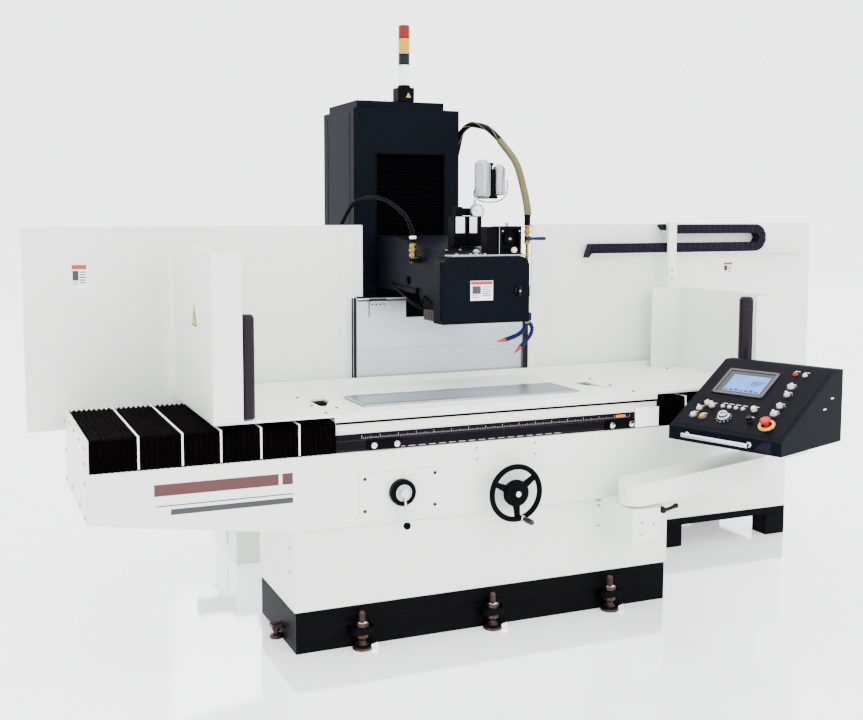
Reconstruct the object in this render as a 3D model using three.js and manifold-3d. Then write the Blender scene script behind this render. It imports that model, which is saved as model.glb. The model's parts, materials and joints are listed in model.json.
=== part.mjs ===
// A column-type surface grinder with a hydraulic table, built as separate named pieces.
// Millimetres. X runs along the table, Y from the operator towards the back, Z up.
// Y is counted from the front face of the pedestal while the pieces are made; the finished group is then
// moved so that its origin is the middle of the underside of the front plinth.
import * as THREE from "three";
import { mergeVertices } from "three/addons/utils/BufferGeometryUtils.js";
import Module from "manifold-3d";

const wasm = await Module();
wasm.setup();

// ---------------------------------------------------------------- driving dimensions
const GAP = 0.3; // between pieces that touch
const RUN = 2; // between pieces that slide past each other
const SHEET = 3; // thickness of folded sheet
const ROUND = 24; // sides of an ordinary round piece
const FINE = 36; // sides of a large round piece

const PEDESTAL = { half: 896, depth: 526, plinthTop: 173, top: 511 };
const BED = { half: 1684, front: -17, back: 704, top: 817, endBottom: 622, plateTop: 947, plate: 14 };
const CROSS = { x: 119, half: 400, back: 2100, top: 690, railTop: 725, railOffset: 260, railHalf: 45 };
const WAYS = { vee: 150, veeHalf: 50, flat: 560, flatHalf: 55, shoulder: 838, apex: 866 };

const TABLE = { left: -720, right: 824, front: 0, back: 690, bottom: 845, top: 952, railTop: 892 };
const TRAY = { left: -1213, right: 1463, front: -6, back: 730, floor: 963, top: 975, lip: 941, rim: 1004 };
const CHUCK = { left: -550, right: 484, front: 106, back: 370, top: 985 };
const GUARD_LEFT = { top: 1660, frontTop: 1630, slopeEnd: 346, flange: 118 };
const GUARD_RIGHT = { top: 1394, flange: 118 };
const POST_TUBE = { radius: 32, leftX: -1076, rightX: 1326, y: 0 };

const PANEL = { y: 780, skin: 12, bottom: 843, top: 1726, fold: 50 };
const PANEL_LEFT = { from: -1849, to: -349 };
const PANEL_RIGHT = { from: 609, to: 2399 };
const CURTAIN = { left: -347, right: 555, y: 750, skin: 5, step: 7 };
const CHAIN = {
  y0: 715,
  y1: 771,
  section: 48,
  lower: 1577,
  radius: 72,
  bendX: 1962,
  fixedX: 925,
  postX: 1420,
};

const COLUMN = { left: -180, right: 418, front: 1240, back: 1720, saddleTop: 880, top: 2325, cap: 2365 };
const LIFT_MOTOR = { x: 120, radius: 55, bottom: 1900, top: 2240, mount: 28 };
const SLOT = { left: -50, right: 330, depth: 90, bottom: 1000, top: 2090 };
const TOWER = {
  x: 122,
  y: 1290,
  box: 46,
  radius: 30,
  boxTop: 2440,
  poleTop: 2562,
  greenTop: 2612,
  top: 2762,
};

const RAM = { front: 380.3, back: 1326, top: 1667, frontTop: 1592, rearBottom: 1396, frontBottom: 1300 };
const HOOD = { left: -116, right: 318, front: 290, back: 380, bottom: 1287, top: 1586, wall: 8, corner: 45 };
const SPINDLE = { x: 101, z: 1424, radius: 39.5, flange: 60 };
const WHEEL = { radius: 145, front: 306, width: 50 };

const HANDWHEEL = { x: 58, y: -90, z: 600, radius: 125, rim: 12, hub: 58 };
const DIAL = { x: -439, z: 638, radius: 55.5, front: -56 };
const LEVER_DROP = 134;

const BRACKET = { left: 525, right: 665, front: -264, bottom: 376, top: 521 };
const ARM = { x: 600, y: -185, z: 582.5, reach: 578, drop: -15, rise: 65, half: 47.5, radius: 80, post: 34 };
const CONSOLE = {
  x: 712,
  y: -248,
  z: 815,
  yaw: -70.4,
  width: 520,
  depth: 492,
  lip: 57,
  crest: 433,
  top: 307,
};
const CABINET = { left: 1330, right: 2155, front: 815, back: 1300, bottom: 154, top: 1690, skirtFront: 648 };

// ---------------------------------------------------------------- solids
// A closed three.js geometry as a solid that can be joined and cut.
function solid(geometry) {
  const bare = geometry.index ? geometry.toNonIndexed() : geometry.clone();
  bare.deleteAttribute("normal");
  bare.deleteAttribute("uv");
  const merged = mergeVertices(bare, 1e-3);
  return new wasm.Manifold(
    new wasm.Mesh({
      numProp: 3,
      vertProperties: new Float32Array(merged.attributes.position.array),
      triVerts: new Uint32Array(merged.index.array),
    }),
  );
}

const union = (...parts) => parts.flat().reduce((whole, part) => whole.add(part));
const cut = (body, ...tools) => tools.flat().reduce((rest, tool) => rest.subtract(tool), body);

function box(x0, x1, y0, y1, z0, z1) {
  const block = new THREE.BoxGeometry(x1 - x0, y1 - y0, z1 - z0);
  return solid(block.translate((x0 + x1) / 2, (y0 + y1) / 2, (z0 + z1) / 2));
}

function outline(points) {
  return new THREE.Shape(points.map(([a, b]) => new THREE.Vector2(a, b)));
}

const flat = (shape, depth) =>
  new THREE.ExtrudeGeometry(shape, { depth, bevelEnabled: false, curveSegments: 8 });

// An outline in X and Z, made solid from y0 to y1.
function prismY(shape, y0, y1) {
  return solid(flat(shape, y1 - y0).rotateX(Math.PI / 2).translate(0, y1, 0));
}

// An outline in Y and Z, made solid from x0 to x1.
function prismX(shape, x0, x1) {
  const turn = new THREE.Matrix4().makeBasis(
    new THREE.Vector3(0, 1, 0),
    new THREE.Vector3(0, 0, 1),
    new THREE.Vector3(1, 0, 0),
  );
  return solid(flat(shape, x1 - x0).applyMatrix4(turn).translate(x0, 0, 0));
}

// An outline in X and Y, made solid from z0 to z1.
function prismZ(shape, z0, z1) {
  return solid(flat(shape, z1 - z0).translate(0, 0, z0));
}

// A round bar along axis "x", "y" or "z" whose middle line passes through the other two coordinates.
function bar(axis, [a, b], from, to, radius, sides = ROUND) {
  const length = to - from;
  const middle = (from + to) / 2;
  const rod = new THREE.CylinderGeometry(radius, radius, length, sides);
  if (axis === "x") return solid(rod.rotateZ(-Math.PI / 2).translate(middle, a, b));
  if (axis === "y") return solid(rod.translate(a, middle, b));
  return solid(rod.rotateX(Math.PI / 2).translate(a, b, middle));
}

// A round bar that follows a smooth curve through the given points.
function hose(points, radius, sides, steps) {
  const path = new THREE.CatmullRomCurve3(points.map((p) => new THREE.Vector3(...p)));
  const section = new THREE.Shape();
  section.absarc(0, 0, radius, 0, Math.PI * 2, false);
  const ring = new THREE.Shape(section.getPoints(sides / 4).slice(0, -1));
  return solid(new THREE.ExtrudeGeometry(ring, { steps, extrudePath: path, bevelEnabled: false }));
}

function turned(profile, sides = FINE) {
  const points = profile.map(([r, h]) => new THREE.Vector2(r, h));
  return new THREE.LatheGeometry(points, sides);
}

const paint = (color, roughness, metalness) =>
  new THREE.MeshStandardMaterial({ color, roughness, metalness });

const WHITE = [0xeceee8, 0.38, 0.0];
const NAVY = [0x1a212b, 0.45, 0.1];
const BLACK = [0x120d14, 0.55, 0.0];
const RUBBER = [0x150d17, 0.8, 0.0];
const STEEL = [0xb9c4ca, 0.3, 0.9];
const PLASTIC = [0x2a1f2c, 0.6, 0.0];
const BRASS = [0xb08d3c, 0.35, 0.9];
const BLUE = [0x1c3f9a, 0.5, 0.0];
const RED = [0xd63a22, 0.4, 0.0];
const YELLOW = [0xf2c230, 0.45, 0.0];
const IVORY = [0xe9e7da, 0.45, 0.0];
const ABRASIVE = [0xdad6cc, 0.95, 0.0];

// A named mesh from a solid.
function piece(name, finish, body) {
  const { vertProperties, triVerts, numProp } = body.getMesh();
  const positions = new Float32Array((vertProperties.length / numProp) * 3);
  for (let i = 0; i < positions.length / 3; i += 1) {
    positions.set(vertProperties.subarray(i * numProp, i * numProp + 3), i * 3);
  }
  const geometry = new THREE.BufferGeometry();
  geometry.setAttribute("position", new THREE.BufferAttribute(positions, 3));
  geometry.setIndex(new THREE.BufferAttribute(new Uint32Array(triVerts), 1));
  geometry.computeVertexNormals();
  const mesh = new THREE.Mesh(geometry, paint(...finish));
  mesh.name = name;
  return mesh;
}

const group = (...members) => new THREE.Group().add(...members.flat());

// ---------------------------------------------------------------- base
// The T-shaped plan that the plinth and the pedestal share.
function teePlan(half, front, waist, tail, back) {
  return outline([
    [-half, front],
    [half, front],
    [half, waist],
    [CROSS.x + tail, waist],
    [CROSS.x + tail, back],
    [CROSS.x - tail, back],
    [CROSS.x - tail, waist],
    [-half, waist],
  ]);
}

// A screw jack in a lug on the plinth's edge, standing on its own round pad.
function levellingFoot(x, y, outward) {
  const lug = box(x - 48, x + 48, Math.min(y, y - outward * 50), Math.max(y, y - outward * 50), 64, 92);
  const pad = bar("z", [x, y], 0, 20, 40);
  const screw = bar("z", [x, y], 10, 150, 13, 12);
  const nut = bar("z", [x, y], 92, 112, 24, 6);
  return union(lug, pad, screw, nut);
}

function plinth() {
  const plan = teePlan(PEDESTAL.half - 8, 8, PEDESTAL.depth, CROSS.half - 20, CROSS.back - 20);
  const front = [-615, -16, 574].map((x) => levellingFoot(x, -26, -1));
  const rear = [CROSS.x - 260, CROSS.x + 260].map((x) => levellingFoot(x, CROSS.back + 10, 1));
  return union(prismZ(plan, 0, PEDESTAL.plinthTop - GAP), front, rear);
}

function pedestalCasting() {
  const plan = teePlan(PEDESTAL.half, 0, PEDESTAL.depth, CROSS.half, BED.back - GAP);
  return prismZ(plan, PEDESTAL.plinthTop, PEDESTAL.top - GAP);
}

// The long bed with its vee and flat guideways, tapered below at both ends and closed by end plates.
function bedCasting() {
  const { half, front, back, top, endBottom, plateTop, plate } = BED;
  const beam = box(-half, half, front, back, PEDESTAL.top, top);
  const vee = outline([
    [WAYS.vee - WAYS.veeHalf, top - 5],
    [WAYS.vee + WAYS.veeHalf, top - 5],
    [WAYS.vee + WAYS.veeHalf, WAYS.shoulder - 6],
    [WAYS.vee, WAYS.apex],
    [WAYS.vee - WAYS.veeHalf, WAYS.shoulder - 6],
  ]);
  const { flat: way, flatHalf, shoulder } = WAYS;
  const flatWay = box(-half, half, way - flatHalf, way + flatHalf, top - 5, shoulder);
  const tapers = [-1, 1].map((side) => {
    const wedge = outline([
      [side * PEDESTAL.half, PEDESTAL.top - 1],
      [side * PEDESTAL.half, PEDESTAL.top],
      [side * half, endBottom],
      [side * (half + 1), endBottom],
      [side * (half + 1), PEDESTAL.top - 1],
    ]);
    return prismY(wedge, front - 1, back + 1);
  });
  const ends = [-1, 1].map((side) => {
    const [x0, x1] = [side * half, side * (half + plate)].sort((a, b) => a - b);
    return box(x0, x1, front, back, endBottom, plateTop);
  });
  return union(cut(union(beam, prismX(vee, -half, half), flatWay), tapers), ends);
}

// The rear base that carries the column on two cross rails.
function columnBase() {
  const { x, half, back, top, railTop, railOffset, railHalf } = CROSS;
  const rails = [-railOffset, railOffset].map((dx) =>
    box(x + dx - railHalf, x + dx + railHalf, 850, back - 30, top - 5, railTop),
  );
  return union(box(x - half, x + half, BED.back, back, PEDESTAL.plinthTop, top), rails);
}

// A way cover: an upside-down trough over the guideways between a bed end plate and the table.
function bellows(x0, x1) {
  const { front, back, top, plateTop } = BED;
  const wall = 26;
  const trough = outline([
    [front, top + GAP],
    [front + wall, top + GAP],
    [front + wall, plateTop - wall],
    [back - wall, plateTop - wall],
    [back - wall, top + GAP],
    [back, top + GAP],
    [back, plateTop],
    [front, plateTop],
  ]);
  return prismX(trough, x0 + GAP, x1 - GAP);
}

// A fixed splash panel behind the table, folded back along its top and outer end.
function splashPanel({ from, to }, outer, bracketXs) {
  const { y, skin, bottom, top, fold } = PANEL;
  const sheet = box(from, to, y, y + skin, bottom, top);
  const topFold = box(from, to, y, y + fold, top - skin, top);
  const endFold = outer < 0
    ? box(from, from + skin, y, y + fold, bottom, top)
    : box(to - skin, to, y, y + fold, bottom, top);
  const brackets = bracketXs.flatMap((x) => [
    box(x - 30, x + 30, BED.back + GAP, y + 4, 785, 812),
    box(x - 30, x + 30, 745, y + 4, 785, 905),
  ]);
  return union(sheet, topFold, endFold, brackets);
}

function splashPanelLeft() {
  const guide = box(-374, PANEL_LEFT.to, 744, PANEL.y + 4, 985, 1385);
  const jamb = box(-352, -302, PANEL.y + 8, PANEL.y + 24, 1385, PANEL.top);
  return union(splashPanel(PANEL_LEFT, -1, [-1500, -980, -480]), guide, jamb);
}

function splashPanelRight() {
  const guide = box(CURTAIN.right + 2, 612, 744, PANEL.y + 8, 985, 1385);
  const ledge = box(CHAIN.fixedX, 2330, 712, PANEL.y + 4, CHAIN.lower - 8, CHAIN.lower - 3);
  return union(splashPanel(PANEL_RIGHT, 1, [760, 1180, 1580]), guide, ledge);
}

// One plate of the telescopic curtain below the wheelhead; order 0 is nearest the operator.
// The upper plate is notched so that the wheelhead can move back over it.
const upperCurtainPlate = () =>
  cut(curtainPlate(0, 1130, 1379), box(-94, 348, CURTAIN.y - 9, CURTAIN.y + 9, 1282, 1380));

function curtainPlate(order, bottom, top) {
  const y = CURTAIN.y + order * CURTAIN.step;
  const lip = order < 2 ? box(CURTAIN.left, CURTAIN.right, y - 2, y + 1, bottom, bottom + 8) : [];
  return union(box(CURTAIN.left, CURTAIN.right, y, y + CURTAIN.skin, bottom, top), lip);
}

// The table speed valve: a screwed cover plate with its round dial.
function speedControlValve() {
  const cover = box(-622, -266, BED.front - GAP - 5, BED.front - GAP, 548, 726);
  const dial = bar("y", [DIAL.x, DIAL.z], DIAL.front, BED.front - 4, DIAL.radius, FINE);
  const screws = [-600, -288].flatMap((x) =>
    [570, 704].map((z) => bar("y", [x, z], BED.front - 10, BED.front - 4, 7, 12)),
  );
  return union(cover, dial, screws);
}

function speedLever() {
  const y = DIAL.front - 10;
  const knob = solid(new THREE.SphereGeometry(14, 12, 8).translate(7, y, -LEVER_DROP));
  const hub = bar("y", [0, 0], y - 5, DIAL.front - GAP, 20);
  const stem = hose([[0, y, -4], [3, y, -60], [7, y, -LEVER_DROP]], 4.5, 8, 4);
  const lever = piece("speed_lever", PLASTIC, union(hub, stem, knob));
  lever.position.set(DIAL.x, 0, DIAL.z);
  return lever;
}

// The electrical cabinet: a shell on a low stand, open at the back behind its door.
function electricalCabinet() {
  const { left, right, front, back, bottom, top, skirtFront } = CABINET;
  const wall = 14;
  const inside = box(left + wall, right - wall, front + wall, back + 1, bottom + wall, top - wall);
  const shell = cut(box(left, right, front, back, bottom, top), inside);
  const skirt = box(left, right, skirtFront, front + 2, bottom, 560);
  const beams = box(left, right, skirtFront, back, bottom - 36, bottom + 2);
  const legs = [[left, left + 136], [right - 125, right]].flatMap(([x0, x1]) =>
    [[skirtFront, skirtFront + 108], [back - 108, back]].map(([y0, y1]) => box(x0, x1, y0, y1, 0, bottom)),
  );
  return union(shell, skirt, beams, legs);
}

function cabinetDoor() {
  const { left, right, back, bottom, top } = CABINET;
  const leaf = box(left + 4, right - 4, back + GAP, back + 18, bottom + 4, top - 4);
  return union(leaf, box(left + 50, left + 76, back + 17, back + 46, 880, 1040));
}

// The hydraulic tank with its pump motor, beside the rear base.
function hydraulicUnit() {
  const right = CROSS.x - CROSS.half - 20;
  const tank = box(-826, right, 1230, 1720, 0, 285);
  const lid = box(-836, right + 4, 1220, 1730, 280, 296);
  const motor = bar("x", [1300, 240], -1000, -820, 46);
  const pump = bar("z", [-560, 1480], 290, 470, 85);
  const manifold = box(-480, -360, 1400, 1560, 290, 380);
  return union(tank, lid, motor, pump, manifold);
}

// ---------------------------------------------------------------- console arm and console
function armBracket() {
  const { left, right, front, bottom, top } = BRACKET;
  const flange = box(left - 22, right + 22, BED.front - 1, -GAP, bottom, bottom + 124);
  const boxed = box(left, right, front, BED.front - GAP, bottom, top);
  const pivot = bar("z", [ARM.x, ARM.y], top - 4, top + 8, 44);
  const lug = box(right - 4, right + 42, -238, -190, 488, 518);
  return union(flange, boxed, pivot, lug);
}

// The arm seen from above: a bar with round ends, from the pivot to the console post.
function armPlan() {
  const shape = new THREE.Shape();
  const { reach, drop, radius } = ARM;
  const lean = Math.atan2(drop, reach);
  shape.absarc(reach, drop, radius, lean - Math.PI / 2, lean + Math.PI / 2, false);
  shape.absarc(0, 0, radius, lean + Math.PI / 2, lean + (3 * Math.PI) / 2, false);
  return shape;
}

function consoleArm() {
  const { x, y, z, reach, drop, rise, half, post } = ARM;
  const rising = new THREE.Matrix4().set(1, 0, 0, 0, 0, 1, 0, 0, rise / reach, 0, 1, 0, 0, 0, 0, 1);
  const beam = solid(flat(armPlan(), half * 2).translate(0, 0, -half).applyMatrix4(rising));
  const mast = bar("z", [reach, drop], rise, CONSOLE.z - z - GAP, post);
  const seat = bar("z", [reach, drop], CONSOLE.z - z - 14, CONSOLE.z - z - GAP, 58);
  const boss = bar("z", [0, 0], -half - 5.5, 0, 40);
  const arm = piece("console_arm", WHITE, union(beam, mast, seat, boss));
  arm.position.set(x, y, z);
  return arm;
}

function armClampLever() {
  const hub = bar("y", [0, 0], -26, 0, 14);
  const grip = hose([[6, -18, 0], [40, -20, 6], [86, -20, 20]], 7, 8, 4);
  const lever = piece("arm_clamp_lever", BLACK, union(hub, grip));
  lever.position.set(BRACKET.right + 22, -238 - GAP, 503);
  return lever;
}

const PANEL_TILT = Math.atan2(CONSOLE.top - CONSOLE.lip, CONSOLE.crest);
const PUSH_BUTTONS = { eStop: [412, 88], feedStart: [70, 88], feedStop: [115, 86] };

// Everything on the console is placed in its own frame: X across, Y from front to back, Z up.
// The case has a blind hole under each push button, so that the button can sink when it is pressed.
function consoleCase() {
  const { width, depth, lip, crest, top } = CONSOLE;
  const side = outline([[0, 0], [depth, 0], [depth, top], [crest, top], [0, lip]]);
  const holes = Object.values(PUSH_BUTTONS).map(([x, s]) => {
    const plug = new THREE.CylinderGeometry(12.5, 12.5, 24, ROUND).rotateX(Math.PI / 2).translate(x, s, 0);
    return solid(plug.rotateX(PANEL_TILT).translate(0, 0, lip));
  });
  return piece("console_case", NAVY, cut(prismX(side, 0, width), holes));
}

function grabBar() {
  const [from, to, y, z] = [80, 388, -26, 30];
  const feet = [from + 10, to - 10].map((x) => bar("y", [x, z], y, -GAP, 7, 12));
  return piece("grab_bar", STEEL, union(bar("x", [y, z], from, to, 9, 16), feet));
}

// A control that stands on the sloping panel at distance x across and s up the slope.
function control(name, finish, x, s, body) {
  const mesh = piece(name, finish, body);
  mesh.position.set(x, s, 0);
  return mesh;
}

function panelControls() {
  const round = (radius, height, from = GAP) => bar("z", [0, 0], from, height, radius, ROUND);
  const { eStop, feedStart, feedStop } = PUSH_BUTTONS;
  const grip = (height) => box(-5, 5, -17, 17, height - 2, height + 9);
  const finger = bar("z", [12, 0], 24, 38, 5, 12);
  const panel = group(
    control("e_stop_button", RED, ...eStop, union(round(11, 24, -4), round(21, 36, 22))),
    control("feed_start_button", IVORY, ...feedStart, round(11, 12, -4)),
    control("feed_stop_button", YELLOW, ...feedStop, round(11, 12, -4)),
    control("spindle_selector", IVORY, 391, 349, union(round(14, 10), grip(10))),
    control("mode_selector", IVORY, 406, 164, union(round(14, 10), grip(10))),
    control("feed_rate_knob", PLASTIC, 326, 105, union(round(16, 6), round(12, 20, 5))),
    control("pulse_dial", STEEL, 210, 100, union(round(26, 12), round(19, 26), finger)),
  );
  panel.position.set(0, 0, CONSOLE.lip);
  panel.rotation.x = PANEL_TILT;
  return panel;
}

// ---------------------------------------------------------------- table
function workTable() {
  const { left, right, front, back, bottom, top, railTop } = TABLE;
  const slab = box(left, right, front, back, bottom, top);
  const rail = box(left, right, BED.front + 2, front + 4, BED.top + RUN + 1, railTop);
  const rearSkirt = box(left, right, back - 16, back, BED.top + RUN + 1, bottom + 4);
  const frontSkirt = box(left, right, front, front + 20, BED.top + RUN + 1, bottom + 4);
  const [deckFrom, deckTo] = [CHUCK.left - 10, CHUCK.right + 10];
  const deck = box(deckFrom, deckTo, CHUCK.front - 6, CHUCK.back + 10, top - 4, TRAY.floor - GAP);
  const veeGroove = outline([
    [WAYS.vee - WAYS.veeHalf - RUN, bottom - 1],
    [WAYS.vee + WAYS.veeHalf + RUN, bottom - 1],
    [WAYS.vee, WAYS.apex + RUN],
  ]);
  const [padFront, padBack] = [WAYS.flat - WAYS.flatHalf, WAYS.flat + WAYS.flatHalf];
  const pads = box(left, right, padFront, padBack, WAYS.shoulder + RUN, bottom + 4);
  return union(cut(slab, prismX(veeGroove, left - 1, right + 1)), rail, rearSkirt, frontSkirt, deck, pads);
}

// The magnetic chuck: a ground steel block with parallel inserts let into its face.
function magneticChuck() {
  return box(CHUCK.left, CHUCK.right, CHUCK.front, CHUCK.back, TRAY.floor, CHUCK.top);
}

// The coolant tray around the chuck, with a turned-down front lip, a rear rim and two drain openings.
function coolantTray() {
  const { left, right, front, back, floor, top, lip, rim } = TRAY;
  const sheet = box(left, right, front, back, floor, top);
  const chuckHole = box(CHUCK.left - 6, CHUCK.right + 6, CHUCK.front - 6, CHUCK.back + 6, floor - 1, top + 1);
  const drain = (x0, x1) => outline([[x0, 150], [x1, 320], [x1, 400], [x0, 400]]);
  const drains = [prismZ(drain(-712, -634), floor - 1, top + 1), prismZ(drain(690, 612), floor - 1, top + 1)];
  const frontLip = box(TABLE.left, TABLE.right, front, front + SHEET * 2, lip, floor + 2);
  const rearRim = box(left + 12, right - 12, back - 10, back, top - 2, rim);
  return union(cut(sheet, chuckHole, drains), frontLip, rearRim);
}

// A splash guard at one end of the tray: an end wall and a flange that faces the operator.
function sideGuard(wallX, inward, top, frontTop, slopeEnd, flange, back) {
  const foot = TRAY.top + GAP;
  const wall = outline([[-28, foot], [back, foot], [back, top], [slopeEnd, top], [-28, frontTop]]);
  const [x0, x1] = [wallX, wallX + inward * 10].sort((a, b) => a - b);
  const [f0, f1] = [wallX, wallX + inward * flange].sort((a, b) => a - b);
  const sill = box(f0, f1, -28, 120, foot, foot + 6);
  return union(prismX(wall, x0, x1), box(f0, f1, -28, -18, foot, frontTop), sill);
}

function sideGuardLeft() {
  const { top, frontTop, slopeEnd, flange } = GUARD_LEFT;
  return sideGuard(TRAY.left - 6, 1, top, frontTop, slopeEnd, flange, TRAY.back - 12);
}

function sideGuardRight() {
  const { top, flange } = GUARD_RIGHT;
  const [wall, back] = [TRAY.right + 6, 684];
  const rearFlange = box(wall - 198, wall, back - 10, back, TRAY.top + GAP, top);
  return union(sideGuard(wall, -1, top, top, 300, flange, back), rearFlange);
}

// A round upright at the front of a side guard, with its round top.
function guardUpright(x, top) {
  const { radius, y } = POST_TUBE;
  const foot = TRAY.top + 6 + GAP * 2;
  const tube = bar("z", [x, y + 16], foot, top - 8, radius);
  return union(tube, bar("z", [x, y + 16], top - 10, top, radius - 6));
}

// A stop that is set along the rail on the table's front edge, with two clamping knobs.
function tripDog() {
  const face = BED.front + 2 - GAP;
  const block = box(-74, 74, face - 8, face, -26, 14);
  const knobs = [-50, 50].map((x) => bar("y", [x, -6], face - 24, face - 6, 13));
  return union(block, knobs);
}

function tripDogAt(name, x) {
  const dog = piece(name, BLACK, tripDog());
  dog.position.set(x, 0, 849);
  return dog;
}

// The strap that carries the moving end of the cable chain.
function chainPost() {
  const { lower, radius, section, y0, y1, postX } = CHAIN;
  const upper = lower + 2 * radius - section;
  const strap = box(postX - 46, postX + 4, 688, 702, TRAY.top + GAP, 1734);
  const clamp = box(postX - 30, postX - GAP, 700, y1, upper, upper + section);
  const stay = box(postX - 46, postX - GAP, 700, y0 + 4, upper + section - 4, 1734);
  return union(strap, clamp, stay);
}

// The cable chain: two straight runs and a bend, each half of the bend a quarter turn.
function chainRun(x0, x1, z) {
  const { y0, y1, section } = CHAIN;
  return box(x0, x1, y0, y1, z, z + section);
}

function chainQuarter(low) {
  const { y0, y1, section, radius, bendX, lower } = CHAIN;
  const middle = lower + radius;
  const shape = new THREE.Shape();
  const [start, end] = low ? [-Math.PI / 2, -0.006] : [0.006, Math.PI / 2];
  shape.absarc(bendX, middle, radius, start, end, false);
  shape.absarc(bendX, middle, radius - section, end, start, true);
  return prismY(shape, y0, y1);
}

// ---------------------------------------------------------------- column
// The motor that lifts the wheelhead, hung from a shelf behind the column.
function liftMotor(back) {
  const { x, radius, bottom, top, mount } = LIFT_MOTOR;
  const y = back + radius + 4;
  const shelf = box(x - radius - 6, x + radius + 6, back - 5, y + radius, top - 1, top + mount);
  return union(shelf, bar("z", [x, y], bottom, top, radius));
}

function columnCasting() {
  const { left, right, front, back, saddleTop, top, cap } = COLUMN;
  const saddle = box(left - 40, right + 40, front - 110, back + 70, CROSS.railTop + RUN, saddleTop);
  const body = box(left, right, front, back, saddleTop - 5, top);
  const slot = box(SLOT.left - RUN, SLOT.right + RUN, front - 1, front + SLOT.depth, SLOT.bottom, SLOT.top);
  const crown = box(left + 25, right - 80, front + 22, back - 20, top - 5, cap);
  const motor = liftMotor(back);
  const gland = bar("x", [1400, 1640], left - 18, left + 5, 22);
  const hoseGland = bar("x", [1440, 1990], right - 5, right + 16, 24);
  return union(cut(union(saddle, body), slot), crown, motor, gland, hoseGland);
}

function columnBellows() {
  const { front } = COLUMN;
  return box(SLOT.left + RUN, SLOT.right - RUN, front + 14, front + 62, RAM.top + GAP, SLOT.top - GAP);
}

function towerLight() {
  const { x, y, box: half, radius, boxTop, poleTop, greenTop, top } = TOWER;
  const foot = COLUMN.cap + GAP;
  return union(
    box(x - half, x + half, y - half + 20, y + half, foot, boxTop),
    bar("z", [x, y], boxTop - 4, poleTop, radius - 2),
    bar("z", [x, y], poleTop - 4, greenTop, radius + 1),
    bar("z", [x, y], greenTop - 4, top, radius),
  );
}

// ---------------------------------------------------------------- wheelhead
function wheelheadHousing() {
  const { front, back, top, frontTop, rearBottom, frontBottom } = RAM;
  const side = outline([
    [front, frontBottom],
    [640, frontBottom + 30],
    [700, rearBottom],
    [back, rearBottom],
    [back, top],
    [1000, top],
    [front, frontTop],
  ]);
  const bore = bar("y", [SPINDLE.x, SPINDLE.z], front - 10, 700, SPINDLE.radius + 1, FINE);
  const ring = bar("x", [684, 1560], SLOT.left - 50, SLOT.left + 6, 16);
  return union(cut(prismX(side, SLOT.left, SLOT.right), bore), ring);
}

// The front view of the wheel guard: square below, rounded at its two upper corners.
function hoodPlan(inset) {
  const { left, right, bottom, top, corner } = HOOD;
  const [x0, x1, z1, r] = [left + inset, right - inset, top - inset, corner - inset];
  const shape = new THREE.Shape();
  shape.moveTo(x0, inset > 0 ? bottom - 5 : bottom);
  shape.lineTo(x1, inset > 0 ? bottom - 5 : bottom);
  shape.lineTo(x1, z1 - r);
  shape.absarc(x1 - r, z1 - r, r, 0, Math.PI / 2, false);
  shape.absarc(x0 + r, z1 - r, r, Math.PI / 2, Math.PI, false);
  return shape;
}

function wheelGuard() {
  const { front, back, wall, right } = HOOD;
  const shell = cut(prismY(hoodPlan(0), front, back), prismY(hoodPlan(wall), front - 1, back - wall));
  const shaftHole = bar("y", [SPINDLE.x, SPINDLE.z], back - 20, back + 5, SPINDLE.radius + 6, FINE);
  return union(cut(shell, shaftHole), box(right - 2, right + 11, front + 2, front + 30, 1402, 1451));
}

function guardDoor() {
  const { front, left } = HOOD;
  const barrel = bar("z", [left - 5, front - 6], 1305, 1565, 7, 16);
  return union(prismY(hoodPlan(0), front - 12, front - GAP), barrel);
}

function doorLatch() {
  const face = HOOD.front - 12 - GAP;
  const knob = union(bar("y", [0, 0], face - 14, face, 17), box(-5, 5, face - 26, face - 10, -22, 22));
  const latch = piece("door_latch", PLASTIC, knob);
  latch.position.set(257, 0, 1430);
  return latch;
}

// The wheel dresser on top of the guard.
function dresserUnit() {
  const foot = HOOD.top + GAP;
  const [y0, y1] = [298, HOOD.back - 2];
  return union(
    box(-60, 312, y0, y1, foot, foot + 8),
    box(175, 288, y0 + 4, y1 - 2, foot + 6, 1722),
    box(118, 177, y0 + 14, y1 - 8, foot + 6, 1720),
    bar("z", [231, 338], 1718, 1736, 9, 12),
    bar("y", [246, 1614], y0 - 12, y0 + 6, 13),
  );
}

// The oiler: two bowls, their bracket and the pressure gauge, standing on the ram.
function oilReservoir() {
  const post = 204;
  return union(
    box(76, 222, 572, 640, 1624, 1768),
    box(post - 17, post + 17, 596, 630, 1736, 1850),
    box(96, post, 606, 626, 1770, 1806),
    bar("y", [post, 1790], 574, 600, 35),
    box(post - 8, 350, 628, 642, 1846, 1990),
    bar("z", [238, 600], 1856, 2036, 38),
    bar("z", [325, 600], 1866, 2014, 31),
  );
}

// The coolant line on the guard: a brass valve, its down pipe and the nozzle block.
function coolantValve() {
  return union(
    bar("z", [341, 345], 1650, 1724, 13, 12),
    bar("y", [341, 1664], 330, 346, 12, 12),
    bar("z", [341, 345], 1300, 1660, 8, 12),
    box(324, 358, 328, 364, 1288, 1322),
  );
}

function valveLever() {
  const handle = union(bar("y", [0, 0], 0, 8, 11, 12), box(0, 88, 1, 6, -8, 8));
  const lever = piece("valve_lever", BLUE, handle);
  lever.position.set(341, 330 - 8 - GAP, 1664);
  return lever;
}

// Two jointed coolant hoses that bend to their nozzles below the wheel.
const NOZZLES = [
  [
    [338, 346, 1280],
    [334, 342, 1256],
    [300, 336, 1226],
    [236, 328, 1206],
    [178, 322, 1197],
  ],
  [
    [348, 350, 1280],
    [372, 350, 1258],
    [366, 346, 1222],
    [324, 342, 1178],
    [277, 340, 1136],
  ],
];

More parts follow.
